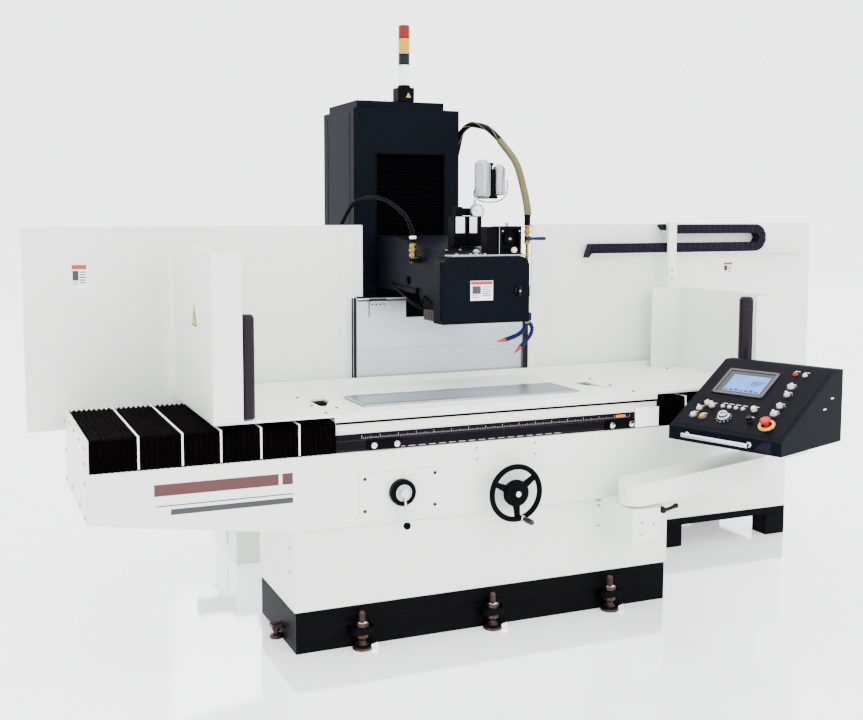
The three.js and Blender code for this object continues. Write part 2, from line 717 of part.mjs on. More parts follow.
function coolantNozzles() {
  const block = box(326, 356, 330, 362, 1272, 1288 - GAP);
  return union(block, NOZZLES.map((path) => hose(path, 8, 8, 10)));
}

function spindleShaft() {
  const { x, z, radius, flange } = SPINDLE;
  const rear = WHEEL.front + WHEEL.width + GAP;
  return union(
    bar("y", [x, z], WHEEL.front - 12, 690, radius, FINE),
    bar("y", [x, z], WHEEL.front - GAP - 9, WHEEL.front - GAP, flange, FINE),
    bar("y", [x, z], rear, rear + 9, flange, FINE),
    bar("y", [x, z], WHEEL.front - 14, WHEEL.front - 5, 27, 6),
  );
}

function grindingWheel() {
  const { x, z, radius } = SPINDLE;
  const { front, width, radius: rim } = WHEEL;
  const ring = turned([
    [radius + 0.6, 0],
    [rim - 3, 0],
    [rim, 3],
    [rim, width - 3],
    [rim - 3, width],
    [radius + 0.6, width],
    [radius + 0.6, 0],
  ]);
  return solid(ring.translate(x, front, z));
}

// ---------------------------------------------------------------- handwheel
function handwheel() {
  const { radius, rim, hub, y } = HANDWHEEL;
  const ring = new THREE.TorusGeometry(radius - rim, rim, 8, FINE).rotateX(Math.PI / 2);
  const spokes = [35, 155, 275].map((angle) => {
    const spoke = new THREE.BoxGeometry(radius - rim, 16, 22).translate((radius - rim) / 2, 6, 0);
    return solid(spoke.rotateY(-THREE.MathUtils.degToRad(angle)));
  });
  const boss = bar("y", [0, 0], -12, BED.front - GAP - y, 20);
  const wheel = union(solid(ring), spokes, bar("y", [0, 0], -18, 16, hub, FINE), boss);
  const crank = handwheelCrank();
  return piece("handwheel", PLASTIC, union(wheel, bar("y", crank, -22, 6, 12, 12)));
}

function handwheelCrank() {
  const angle = THREE.MathUtils.degToRad(-75);
  const reach = HANDWHEEL.radius - HANDWHEEL.rim;
  return [Math.cos(angle) * reach, Math.sin(angle) * reach];
}

function handwheelGrip() {
  const [x, z] = handwheelCrank();
  const grip = turned([[0, 0], [10, 0], [13, -30], [12, -62], [6, -70], [0, -70]].reverse(), ROUND);
  return piece("handwheel_grip", PLASTIC, solid(grip.translate(x, -22 - GAP, z)));
}

// ---------------------------------------------------------------- hoses
// The conduit that arches from the side of the column over to the wheelhead.
const CONDUIT = [
  [-198.8, 1400, 1640],
  [-216, 1400, 1640],
  [-236, 1370, 1662],
  [-230, 1290, 1730],
  [-210, 1189, 1824],
  [-185, 1110, 1854],
  [-160, 992, 1862],
  [-135, 881, 1841],
  [-112, 783, 1797],
  [-96, 722, 1749],
  [-87, 688, 1690],
  [-86, 684, 1640],
  [-86, 684, 1576.4],
];

// The coolant hose that arches from the column to the valve on the wheel guard.
const COOLANT = [
  [434.8, 1440, 1990],
  [452, 1440, 1990],
  [468, 1420, 2036],
  [463, 1335, 2160],
  [460, 1282, 2224],
  [457, 1157, 2248],
  [447, 940, 2206],
  [430, 741, 2108],
  [408, 575, 2013],
  [380, 452, 1891],
  [352, 365, 1800],
  [341, 345, 1762],
  [341, 345, 1725.5],
];

// ---------------------------------------------------------------- assembly
const chainUpper = CHAIN.lower + 2 * CHAIN.radius - CHAIN.section;

const base = group(
  piece("plinth", BLACK, plinth()),
  piece("pedestal_casting", WHITE, pedestalCasting()),
  piece("bed_casting", WHITE, bedCasting()),
  piece("column_base", WHITE, columnBase()),
  piece("bellows_left", RUBBER, bellows(-BED.half, TABLE.left)),
  piece("bellows_right", RUBBER, bellows(TABLE.right, BED.half)),
  piece("splash_panel_left", WHITE, splashPanelLeft()),
  piece("splash_panel_right", WHITE, splashPanelRight()),
  piece("curtain_plate_lower", STEEL, curtainPlate(2, CROSS.top + GAP, 1100)),
  piece("speed_control_valve", WHITE, speedControlValve()),
  piece("electrical_cabinet", WHITE, electricalCabinet()),
  piece("hydraulic_unit", WHITE, hydraulicUnit()),
  piece("arm_bracket", WHITE, armBracket()),
  piece("chain_run_lower", PLASTIC, chainRun(CHAIN.fixedX + 2, CHAIN.bendX - GAP, CHAIN.lower)),
);

const chainBend = group(
  piece("chain_bend_lower", PLASTIC, chainQuarter(true)),
  piece("chain_bend_upper", PLASTIC, chainQuarter(false)),
  piece("chain_run_upper", PLASTIC, chainRun(CHAIN.postX, CHAIN.bendX - GAP, chainUpper)),
);

const curtain = group(
  piece("curtain_plate_upper", STEEL, upperCurtainPlate()),
  piece("curtain_plate_middle", STEEL, curtainPlate(1, 992, 1262)),
);

const table = group(
  piece("work_table", WHITE, workTable()),
  piece("magnetic_chuck", STEEL, magneticChuck()),
  piece("coolant_tray", WHITE, coolantTray()),
  piece("side_guard_left", WHITE, sideGuardLeft()),
  piece("side_guard_right", WHITE, sideGuardRight()),
  piece("guard_upright_left", PLASTIC, guardUpright(POST_TUBE.leftX, 1390)),
  piece("guard_upright_right", PLASTIC, guardUpright(POST_TUBE.rightX, 1390)),
  piece("chain_post", WHITE, chainPost()),
  tripDogAt("trip_dog_left", -513),
  tripDogAt("trip_dog_right", 618),
);

const column = group(
  piece("column_casting", NAVY, columnCasting()),
  piece("column_bellows", RUBBER, columnBellows()),
  piece("tower_light", RED, towerLight()),
);

const wheelhead = group(
  piece("wheelhead_housing", NAVY, wheelheadHousing()),
  piece("wheel_guard", NAVY, wheelGuard()),
  piece("guard_door", NAVY, guardDoor()),
  doorLatch(),
  piece("dresser_unit", BLACK, dresserUnit()),
  piece("oil_reservoir", STEEL, oilReservoir()),
  piece("coolant_valve", BRASS, coolantValve()),
  valveLever(),
  piece("coolant_nozzles", BLUE, coolantNozzles()),
  piece("spindle_shaft", STEEL, spindleShaft()),
  piece("grinding_wheel", ABRASIVE, grindingWheel()),
);

const handwheelGroup = group(handwheel(), handwheelGrip());
handwheelGroup.position.set(HANDWHEEL.x, HANDWHEEL.y, HANDWHEEL.z);

const consoleGroup = group(consoleCase(), grabBar(), panelControls());
consoleGroup.position.set(CONSOLE.x, CONSOLE.y, CONSOLE.z);
consoleGroup.rotation.z = THREE.MathUtils.degToRad(CONSOLE.yaw);

const machine = group(
  base,
  chainBend,
  curtain,
  table,
  column,
  wheelhead,
  piece("cabinet_door", WHITE, cabinetDoor()),
  speedLever(),
  handwheelGroup,
  consoleArm(),
  armClampLever(),
  consoleGroup,
  piece("power_conduit", BLACK, hose(CONDUIT, 11, 8, 40)),
  piece("coolant_hose", YELLOW, hose(COOLANT, 15, 8, 44)),
);
machine.position.y = -PEDESTAL.depth / 2;

export default machine;
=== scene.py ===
"""The looks of the surface grinder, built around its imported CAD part. Lengths are in millimetres in the
row frame until a mesh is made, and in metres after that."""
import json
import math

import bmesh
import bpy
from mathutils import Matrix, Vector
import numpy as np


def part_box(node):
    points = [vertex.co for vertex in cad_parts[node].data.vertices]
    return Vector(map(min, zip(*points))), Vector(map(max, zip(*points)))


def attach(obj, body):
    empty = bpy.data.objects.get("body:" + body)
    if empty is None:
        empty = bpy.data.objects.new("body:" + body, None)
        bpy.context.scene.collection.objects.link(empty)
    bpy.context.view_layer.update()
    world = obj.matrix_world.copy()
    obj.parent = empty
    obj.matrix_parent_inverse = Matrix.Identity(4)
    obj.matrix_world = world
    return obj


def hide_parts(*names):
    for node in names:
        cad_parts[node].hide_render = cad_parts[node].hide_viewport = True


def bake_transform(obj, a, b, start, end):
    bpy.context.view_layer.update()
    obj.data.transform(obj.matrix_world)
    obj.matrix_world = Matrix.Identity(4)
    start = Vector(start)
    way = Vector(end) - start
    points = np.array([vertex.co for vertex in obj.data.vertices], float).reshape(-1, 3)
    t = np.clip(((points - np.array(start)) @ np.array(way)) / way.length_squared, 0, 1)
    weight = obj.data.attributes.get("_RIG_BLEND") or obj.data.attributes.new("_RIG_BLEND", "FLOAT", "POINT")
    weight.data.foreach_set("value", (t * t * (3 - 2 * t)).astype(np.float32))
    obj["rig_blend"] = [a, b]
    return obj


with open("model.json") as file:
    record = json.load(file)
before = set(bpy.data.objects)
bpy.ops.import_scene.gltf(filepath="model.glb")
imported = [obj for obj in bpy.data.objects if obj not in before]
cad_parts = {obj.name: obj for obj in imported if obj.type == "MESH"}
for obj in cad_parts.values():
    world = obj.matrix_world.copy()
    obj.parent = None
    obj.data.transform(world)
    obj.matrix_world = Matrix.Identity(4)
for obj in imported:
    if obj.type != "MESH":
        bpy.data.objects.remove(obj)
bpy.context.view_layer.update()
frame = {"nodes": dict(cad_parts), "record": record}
RECORD = frame["record"]
MM = 0.001


class Box:
    """A CAD node's box in millimetres: x0, x1, y0, y1, z0, z1."""

    def __init__(self, node):
        lo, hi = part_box(node)
        self.x0, self.y0, self.z0 = (v / MM for v in lo)
        self.x1, self.y1, self.z1 = (v / MM for v in hi)
        self.cx, self.cy, self.cz = (self.x0 + self.x1) / 2, (self.y0 + self.y1) / 2, (self.z0 + self.z1) / 2


B = {n: Box(n) for n in frame["nodes"]}

# ------------------------------------------------------------------ camera
cam_data = bpy.data.cameras.new("camera")
cam_data.lens, cam_data.sensor_width = 45.89, 36
cam_data.shift_x, cam_data.shift_y = 0.0523, -0.0488
cam_data.clip_end = 200
camera = bpy.data.objects.new("camera", cam_data)
camera.location = (-2.143, -4.393, 1.765)
camera.rotation_euler = (math.radians(84.75), math.radians(0.11), math.radians(-21.76))
bpy.context.scene.collection.objects.link(camera)
bpy.context.scene.camera = camera


# ------------------------------------------------------------------ materials
def srgb(r, g, b):
    """0 to 255 display values as linear ones."""
    return tuple(c / 3294.6 if c <= 10.31 else ((c / 255 + 0.055) / 1.055) ** 2.4 for c in (r, g, b))


def surface(name, rgb, rough, metal=0.0, vary=0.05, grain=300.0, bump=0.05, stretch=(1, 1, 1), coat=0.0,
        patch=2.5, glow=0.0, clear=0.0, spread=0.08, shine=0.5):
    """A principled finish whose colour, roughness and surface all vary with noise."""
    m = bpy.data.materials.new(name)
    m.use_nodes = True
    nt = m.node_tree
    shader = nt.nodes["Principled BSDF"]
    where = nt.nodes.new("ShaderNodeTexCoord")
    turn = nt.nodes.new("ShaderNodeMapping")
    turn.inputs["Scale"].default_value = stretch
    nt.links.new(where.outputs["Object"], turn.inputs["Vector"])
    soft = nt.nodes.new("ShaderNodeTexNoise")
    soft.inputs["Scale"].default_value = patch
    soft.inputs["Detail"].default_value = 5
    nt.links.new(where.outputs["Object"], soft.inputs["Vector"])
    fine = nt.nodes.new("ShaderNodeTexNoise")
    fine.inputs["Scale"].default_value = grain
    fine.inputs["Detail"].default_value = 3
    nt.links.new(turn.outputs["Vector"], fine.inputs["Vector"])
    ramp = nt.nodes.new("ShaderNodeValToRGB")
    ramp.color_ramp.elements[0].position, ramp.color_ramp.elements[1].position = 0.3, 0.72
    ramp.color_ramp.elements[0].color = (*[c * (1 - vary) for c in rgb], 1)
    ramp.color_ramp.elements[1].color = (*[min(1, c * (1 + vary)) for c in rgb], 1)
    nt.links.new(soft.outputs["Fac"], ramp.inputs["Fac"])
    nt.links.new(ramp.outputs["Color"], shader.inputs["Base Color"])
    span = nt.nodes.new("ShaderNodeMapRange")
    span.inputs["To Min"].default_value = max(0.02, rough - spread)
    span.inputs["To Max"].default_value = min(1, rough + spread)
    nt.links.new(fine.outputs["Fac"], span.inputs["Value"])
    nt.links.new(span.outputs["Result"], shader.inputs["Roughness"])
    relief = nt.nodes.new("ShaderNodeBump")
    relief.inputs["Strength"].default_value = bump
    relief.inputs["Distance"].default_value = 0.001
    nt.links.new(fine.outputs["Fac"], relief.inputs["Height"])
    nt.links.new(relief.outputs["Normal"], shader.inputs["Normal"])
    shader.inputs["Metallic"].default_value = metal
    shader.inputs["Specular IOR Level"].default_value = shine
    shader.inputs["Coat Weight"].default_value = coat
    shader.inputs["Coat Roughness"].default_value = 0.08
    shader.inputs["Transmission Weight"].default_value = clear
    if glow:
        shader.inputs["Emission Color"].default_value = (*rgb, 1)
        shader.inputs["Emission Strength"].default_value = glow
    return m


WHITE = surface("white_enamel", srgb(222, 227, 218), 0.36, vary=0.012, grain=420, bump=0.06, coat=0.15)
WHITE_SHEET = surface("white_sheet_enamel", srgb(224, 228, 220), 0.4, vary=0.015, grain=260, bump=0.05,
    coat=0.1)
NAVY = surface("navy_enamel", srgb(5, 9, 15), 0.5, vary=0.12, grain=520, bump=0.12, shine=0.025)
BLACK = surface("black_enamel", srgb(3, 3, 5), 0.5, vary=0.12, grain=500, bump=0.12, shine=0.03)
DARK = surface("soot_black", srgb(4, 3, 5), 0.6, vary=0.15, grain=300, bump=0.15, shine=0.03)
CLOTH = surface("bellows_cloth", srgb(4, 2, 3), 0.8, vary=0.3, grain=900, bump=0.5, patch=14, shine=0.01)
RAIL = surface("rail_black", srgb(11, 6, 13), 0.5, vary=0.14, grain=420, bump=0.15, patch=9, shine=0.04)
STEEL = surface("ground_steel", srgb(140, 147, 154), 0.24, metal=1, vary=0.07, grain=90, bump=0.12,
    stretch=(0.6, 30, 30), patch=6)
CURTAIN = surface("curtain_steel", srgb(176, 184, 190), 0.36, metal=0.85, vary=0.06, grain=120, bump=0.08,
    stretch=(0.4, 12, 12), patch=3)
CHUCK = surface("chuck_steel", srgb(168, 176, 181), 0.3, metal=0.8, vary=0.05, grain=150, bump=0.15,
    stretch=(30, 0.6, 1), patch=5)
# Dark grey for the curtain plates: painted shade along the plate seams, and the real dark bracket and screws
# on the upper plate.
SEAM_SHADE_AND_BRACKET = surface("seam_shade_and_bracket_grey", srgb(26, 28, 32), 0.5, metal=0.1, vary=0.1, grain=200, bump=0.08,
    shine=0.2)
BLUE_STEEL = surface("blued_steel", srgb(92, 106, 124), 0.3, metal=0.8, vary=0.1, grain=120, bump=0.1,
    stretch=(1, 25, 25))
CHROME = surface("polished_chrome", srgb(196, 198, 204), 0.12, metal=1, vary=0.03, grain=200, bump=0.02,
    spread=0.05)
SATIN = surface("satin_nickel", srgb(150, 152, 158), 0.34, metal=0.9, vary=0.06, grain=240, bump=0.08)
BRASS = surface("brass", srgb(124, 102, 44), 0.28, metal=1, vary=0.14, grain=160, bump=0.08, patch=20)
RUSTY = surface("oiled_bolt_steel", srgb(58, 40, 36), 0.42, metal=0.8, vary=0.35, grain=140, bump=0.25,
    patch=28)
PURPLE = surface("purple_black_gloss", srgb(19, 13, 22), 0.3, vary=0.2, grain=300, bump=0.06,
    stretch=(1, 1, 0.2), shine=0.12)
CHAIN = surface("chain_nylon", srgb(19, 13, 26), 0.5, vary=0.16, grain=500, bump=0.2, patch=12, shine=0.06)
RUBBER = surface("black_rubber", srgb(4, 4, 5), 0.6, shine=0.03, vary=0.18, grain=600, bump=0.25, patch=30)
PHENOLIC = surface("black_phenolic", srgb(7, 4, 6), 0.28, vary=0.15, grain=260, bump=0.05, shine=0.14)
IVORY = surface("ivory_plastic", srgb(206, 200, 178), 0.34, vary=0.04, grain=240, bump=0.05)
SILK_WHITE = surface("silk_white", srgb(250, 250, 250), 0.4, vary=0.02, grain=240, bump=0.04)
RED = surface("red_plastic", srgb(172, 12, 2), 0.34, vary=0.06, grain=240, bump=0.05, shine=0.3)
ORANGE = surface("orange_plastic", srgb(158, 36, 0), 0.45, vary=0.08, grain=240, bump=0.05)
YELLOW = surface("yellow_plastic", srgb(196, 146, 0), 0.38, vary=0.06, grain=240, bump=0.05)
AMBER = surface("amber_plastic", srgb(206, 112, 16), 0.35, vary=0.06, grain=240, bump=0.05)
BLUE = surface("blue_plastic", srgb(1, 10, 64), 0.45, vary=0.12, grain=260, bump=0.08, shine=0.15)
HOSE_YELLOW = surface("yellow_braid", srgb(72, 62, 2), 0.55, vary=0.12, grain=500, bump=0.3, patch=30)
PANEL_INK = surface("panel_ink", srgb(4, 3, 11), 0.42, vary=0.12, grain=600, bump=0.06, shine=0.03)
BEZEL = surface("bezel_grey", srgb(50, 44, 42), 0.4, vary=0.08, grain=400, bump=0.08)
SCREEN = surface("screen_glow", srgb(52, 112, 180), 0.12, vary=0.3, grain=60, bump=0.0, patch=9, glow=0.5)
SCREEN_DARK = surface("screen_glass", srgb(3, 3, 5), 0.1, vary=0.2, grain=60, bump=0.0)
ABRASIVE = surface("abrasive_grain", srgb(226, 222, 212), 0.9, vary=0.12, grain=900, bump=1.0, patch=200)
LABEL = surface("label_white", srgb(240, 240, 236), 0.4, vary=0.03, grain=300, bump=0.03)
INK = surface("label_ink", srgb(34, 34, 38), 0.5, vary=0.1, grain=300, bump=0.03)
MARK_RED = surface("mark_red", srgb(62, 0, 3), 0.4, vary=0.06, grain=300, bump=0.03)
LAMP_RED = surface("lamp_red", srgb(118, 0, 0), 0.25, vary=0.08, grain=120, bump=0.05, shine=0.2)
LAMP_YELLOW = surface("lamp_yellow", srgb(190, 138, 0), 0.25, vary=0.08, grain=120, bump=0.05, shine=0.2,
    glow=0.06)
LAMP_GREEN = surface("lamp_green", srgb(0, 24, 17), 0.25, vary=0.1, grain=120, bump=0.05, shine=0.12)


# ------------------------------------------------------------------ mesh building
AXES = {"x": Vector((1, 0, 0)), "y": Vector((0, 1, 0)), "z": Vector((0, 0, 1))}


def across(axis):
    """Two directions square to an axis."""
    a = axis.normalized()
    u = a.cross(Vector((0, 0, 1)) if abs(a.z) < 0.9 else Vector((1, 0, 0))).normalized()
    return u, a.cross(u)


def local_frame(origin, ux, uy, uz):
    """The matrix that puts a shape's own axes along ux, uy and uz at origin."""
    m = Matrix((ux, uy, uz)).transposed().to_4x4()
    m.translation = origin
    return m


def around(count, radius, first=0.0, step=None):
    """Offsets of evenly spaced places on a circle; angles in degrees."""
    turn = 360 / count if step is None else step
    for k in range(count):
        a = math.radians(first + turn * k)
        yield radius * math.cos(a), radius * math.sin(a)


class Shape:
    """Collects solids in millimetres and makes one piece of them."""

    def __init__(self, matrix=None, bm=None):
        self.bm = bm or bmesh.new()
        self.matrix = matrix
        self.index = 0

    def paint(self, index):
        self.index = index
        return self

    def _add(self, part, bevel, segments):
        if bevel:
            edges = [e for e in part.edges if len(e.link_faces) == 2 and e.calc_face_angle(0) > 0.5]
            bmesh.ops.bevel(part, geom=edges, offset=bevel, segments=segments, profile=0.5, affect="EDGES",
                clamp_overlap=True)
        for f in part.faces:
            f.material_index = self.index
        if self.matrix is not None:
            part.transform(self.matrix)
        mesh = bpy.data.meshes.new("part")
        part.to_mesh(mesh)
        part.free()
        self.bm.from_mesh(mesh)
        bpy.data.meshes.remove(mesh)
        return self

    def box(self, x0, x1, y0, y1, z0, z1, bevel=1.5, segments=2):
        part = bmesh.new()
        bmesh.ops.create_cube(part, size=1)
        part.transform(Matrix.Translation(((x0 + x1) / 2, (y0 + y1) / 2,
            (z0 + z1) / 2)) @ Matrix.Diagonal((abs(x1 - x0), abs(y1 - y0), abs(z1 - z0), 1)))
        return self._add(part, min(bevel, 0.3 * min(abs(x1 - x0), abs(y1 - y0), abs(z1 - z0))), segments)

    def block(self, centre, half, bevel=0.0):
        """A box given by its middle and its half sizes."""
        (x, y, z), (u, v, w) = centre, half
        return self.box(x - u, x + u, y - v, y + v, z - w, z + w, bevel)

    def ribs(self, centre, count, radius, half, lo, hi, bevel=0.0):
        """Small upright bars round a circle."""
        for dx, dy in around(count, radius):
            x, y = centre[0] + dx, centre[1] + dy
            self.box(x - half, x + half, y - half, y + half, lo, hi, bevel)
        return self

    def prism(self, points, axis, lo, hi, bevel=1.5, segments=2):
        """An outline in the two other axes, in X, Y, Z order, made solid from lo to hi."""
        part = bmesh.new()
        def place(p, h):
            return {"x": (h, p[0], p[1]), "y": (p[0], h, p[1]), "z": (p[0], p[1], h)}[axis]
        low = [part.verts.new(place(p, lo)) for p in points]
        high = [part.verts.new(place(p, hi)) for p in points]
        part.faces.new(low)
        part.faces.new(high[::-1])
        n = len(points)
        for i in range(n):
            part.faces.new((low[i], high[i], high[(i + 1) % n], low[(i + 1) % n]))
        bmesh.ops.recalc_face_normals(part, faces=part.faces)
        return self._add(part, bevel, segments)

    def lathe(self, profile, origin, axis="z", sides=40, start=0.0):
        """A profile of (radius, height) turned round an axis through origin."""
        direction = AXES[axis] if isinstance(axis, str) else Vector(axis).normalized()
        u, v = across(direction)
        o = Vector(origin)
        part = bmesh.new()
        rings = []
        for r, h in profile:
            if r < 1e-6:
                rings.append([part.verts.new(o + direction * h)])
            else:
                turns = [start + 2 * math.pi * k / sides for k in range(sides)]
                middle = o + direction * h
                rings.append([part.verts.new(middle + (u * math.cos(t) + v * math.sin(t)) * r) for t in turns])
        for a, b in zip(rings, rings[1:]):
            for k in range(sides):
                j = (k + 1) % sides
                quad = [a[k % len(a)], a[j % len(a)], b[j % len(b)], b[k % len(b)]]
                corners = list(dict.fromkeys(quad))
                if len(corners) > 2:
                    part.faces.new(corners)
        if len(rings[0]) > 1 and len(rings[-1]) > 1:
            for k in range(sides):
                j = (k + 1) % sides
                part.faces.new((rings[-1][k], rings[-1][j], rings[0][j], rings[0][k]))
        bmesh.ops.recalc_face_normals(part, faces=part.faces)
        return self._add(part, 0, 1)

    def rod(self, origin, axis, length, radius, sides=32, chamfer=1.0):
        c = min(chamfer, radius * 0.4, length * 0.3)
        return self.lathe([(0, 0), (radius - c, 0), (radius, c), (radius, length - c), (radius - c, length),
            (0, length)], origin, axis, sides)

    def screw(self, origin, axis, radius=6, height=4):
        """A socket-head screw."""
        r, h = radius, height
        return self.lathe([(0, h * 0.4), (r * 0.5, h * 0.4), (r * 0.52, h), (r * 0.82, h), (r, h * 0.8),
            (r, 0), (0, 0)], origin, axis, 18)

    def nut(self, origin, axis, radius, height):
        return self.lathe([(0, 0), (radius * 0.93, 0), (radius, height * 0.12), (radius, height * 0.88),
            (radius * 0.93, height), (0, height)], origin, axis, 6)

    def tube(self, points, radius, sides=12, rib=0.0, every=1):
        """A swept round section; its radius drops by rib on the rings between ribs."""
        pts = [Vector(p) for p in points]
        part = bmesh.new()
        rings, u = [], None
        for i, p in enumerate(pts):
            t = (pts[min(i + 1, len(pts) - 1)] - pts[max(i - 1, 0)]).normalized()
            u = across(t)[0] if u is None else (u - t * u.dot(t)).normalized()
            v = t.cross(u)
            r = radius - (rib if (i // every) % 2 else 0)
            turns = [2 * math.pi * k / sides for k in range(sides)]
            rings.append([part.verts.new(p + (u * math.cos(a) + v * math.sin(a)) * r) for a in turns])
        for a, b in zip(rings, rings[1:]):
            for k in range(sides):
                j = (k + 1) % sides
                part.faces.new((a[k], a[j], b[j], b[k]))
        part.faces.new(rings[0][::-1])
        part.faces.new(rings[-1])
        bmesh.ops.recalc_face_normals(part, faces=part.faces)
        return self._add(part, 0, 1)

    def make(self, name, materials, body, replaces=(), smooth=32, slot=None, weigh=True):
        """One object that rides on a body, or is left without a parent if body is None."""
        mesh = bpy.data.meshes.new(name)
        self.bm.to_mesh(mesh)
        self.bm.free()
        mesh.transform(Matrix.Scale(MM, 4))
        for m in materials if isinstance(materials, (list, tuple)) else [materials]:
            mesh.materials.append(m)
        mesh.shade_smooth()
        mesh.set_sharp_from_angle(angle=math.radians(smooth))
        obj = bpy.data.objects.new(name, mesh)
        bpy.context.scene.collection.objects.link(obj)
        if body:
            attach(obj, body)
        nodes = [replaces] if isinstance(replaces, str) else list(replaces)
        if weigh:
            obj.modifiers.new("even_shading", "WEIGHTED_NORMAL").keep_sharp = True
        if nodes:
            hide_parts(*nodes)
        return obj


def curve(points, steps):
    """Points evenly spread along a smooth line through the given points."""
    pts = [Vector(p) for p in points]
    dense = []
    for i in range(len(pts) - 1):
        p0, p1, p2, p3 = (pts[max(0, min(len(pts) - 1, i + k))] for k in (-1, 0, 1, 2))
        for k in range(24):
            t = k / 24
            bend = 2 * p0 - 5 * p1 + 4 * p2 - p3
            dense.append(0.5 * (2 * p1 + (p2 - p0) * t + bend * t * t + (3 * p1 - p0 - 3 * p2 + p3) * t ** 3))
    dense.append(pts[-1])
    run = [0.0]
    for a, b in zip(dense, dense[1:]):
        run.append(run[-1] + (b - a).length)
    out, j = [], 0
    for k in range(steps + 1):
        want = run[-1] * k / steps
        while j < len(run) - 2 and run[j + 1] < want:
            j += 1
        share = (want - run[j]) / max(1e-9, run[j + 1] - run[j])
        out.append(dense[j].lerp(dense[j + 1], share))
    return out, run[-1]


def follow(obj, a, b, start, end):
    """obj stretches evenly between two bodies, so that its folds and links keep their order."""
    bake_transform(obj, a, b, start=[c * MM for c in start], end=[c * MM for c in end])
    s, d = Vector(start) * MM, (Vector(end) - Vector(start)) * MM
    weights = obj.data.attributes["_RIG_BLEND"]
    for i, v in enumerate(obj.data.vertices):
        weights.data[i].value = min(1, max(0, (v.co - s).dot(d) / d.length_squared))
    return obj


def refine(node, materials, bevel=3.0, body=None, name=None, rule=None, segments=2):
    """The CAD node's own shape with its flat faces joined and its edges rounded."""
    bm = bmesh.new()
    bm.from_mesh(frame["nodes"][node].data)
    bmesh.ops.scale(bm, vec=(1 / MM,) * 3, verts=bm.verts)
    bmesh.ops.remove_doubles(bm, verts=bm.verts, dist=0.02)
    bmesh.ops.dissolve_limit(bm, angle_limit=math.radians(1), verts=bm.verts, edges=bm.edges)
    if bevel:
        sharp = [e for e in bm.edges if len(e.link_faces) == 2 and e.calc_face_angle(0) > math.radians(38)]
        bmesh.ops.bevel(bm, geom=sharp, offset=bevel, segments=segments, profile=0.5, affect="EDGES",
            clamp_overlap=True)
    bmesh.ops.triangulate(bm, faces=[f for f in bm.faces if len(f.verts) > 4])
    if rule:
        for f in bm.faces:
            f.material_index = rule(f.calc_center_median(), f.normal)
    home = next(k for k, v in RECORD["behaviour"]["bodies"].items() if node in v)
    return Shape(bm=bm).make(name or node + "_finished", materials, body or home, replaces=node)


# ------------------------------------------------------------------ hoses
Y = -263  # the row frame's Y of the pedestal's front face
CONDUIT = [(-198.8, 1400 + Y, 1640), (-216, 1400 + Y, 1640), (-236, 1370 + Y, 1662), (-230, 1290 + Y, 1730),
    (-210, 1189 + Y, 1824), (-185, 1110 + Y, 1854), (-160, 992 + Y, 1862), (-135, 881 + Y, 1841),
    (-112, 783 + Y, 1797), (-96, 722 + Y, 1749), (-87, 688 + Y, 1690), (-86, 684 + Y, 1640),
    (-86, 684 + Y, 1576.4)]
COOLANT = [(434.8, 1440 + Y, 1990), (452, 1440 + Y, 1990), (468, 1420 + Y, 2036), (463, 1335 + Y, 2160),
    (460, 1282 + Y, 2224), (457, 1157 + Y, 2248), (447, 940 + Y, 2206), (430, 741 + Y, 2108),
    (408, 575 + Y, 2013), (380, 452 + Y, 1891), (352, 365 + Y, 1800), (341, 345 + Y, 1762),
    (341, 345 + Y, 1725.5)]


def flexible(name, path, radius, node, colour, steps, rib):
    points, length = curve(path, steps)
    shape = Shape()
    shape.tube(points, radius, 16, rib=rib)
    hose = shape.make(name, colour, None, replaces=node, smooth=60)
    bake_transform(hose, "column", "head", start=tuple(points[0] * MM), end=tuple(points[-1] * MM))
    return points


flexible("power_conduit_hose", CONDUIT, 10.5, "power_conduit", RUBBER, 190, 1.0)
coolant_line = flexible("coolant_hose_braid", COOLANT, 14.5, "coolant_hose", RUBBER, 300, 0.8)


def sleeve(name, line, share0, share1, radius, material, rib=0.5):
    n = len(line) - 1
    part = line[int(n * share0): int(n * share1) + 1]
    shape = Shape()
    shape.tube(part, radius, 16, rib=rib, every=2)
    piece = shape.make(name, material, None, smooth=60)
    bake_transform(piece, "column", "head", start=tuple(line[0] * MM), end=tuple(line[-1] * MM))
    return piece


sleeve("coolant_hose_yellow", coolant_line, 0.56, 0.97, 17.0, HOSE_YELLOW)


def stripe(name, line, radius, material, angle0, twist, share0, share1, width):
    """A coloured tracer line that runs along a hose."""
    n = len(line) - 1
    part = line[int(n * share0): int(n * share1) + 1]
    moved, u = [], None
    for i, p in enumerate(part):
        t = (part[min(i + 1, len(part) - 1)] - part[max(i - 1, 0)]).normalized()
        u = across(t)[0] if u is None else (u - t * u.dot(t)).normalized()
        v = t.cross(u)
        a = angle0 + twist * i / len(part)
        moved.append(p + (u * math.cos(a) + v * math.sin(a)) * radius)
    shape = Shape()
    shape.tube(moved, width, 6)
    piece = shape.make(name, material, None, smooth=60)
    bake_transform(piece, "column", "head", start=tuple(line[0] * MM), end=tuple(line[-1] * MM))


for k in range(3):
    stripe(f"hose_tracer_{k}", coolant_line, 14.0, HOSE_YELLOW, k * 2.1, 7.0, 0.0, 0.57, 2.6)

# ------------------------------------------------------------------ base castings
refine("plinth", BLACK, bevel=3)
refine("pedestal_casting", WHITE, bevel=7, segments=3)
refine("bed_casting", WHITE, bevel=5, segments=3)
refine("column_base", WHITE, bevel=6, segments=3)

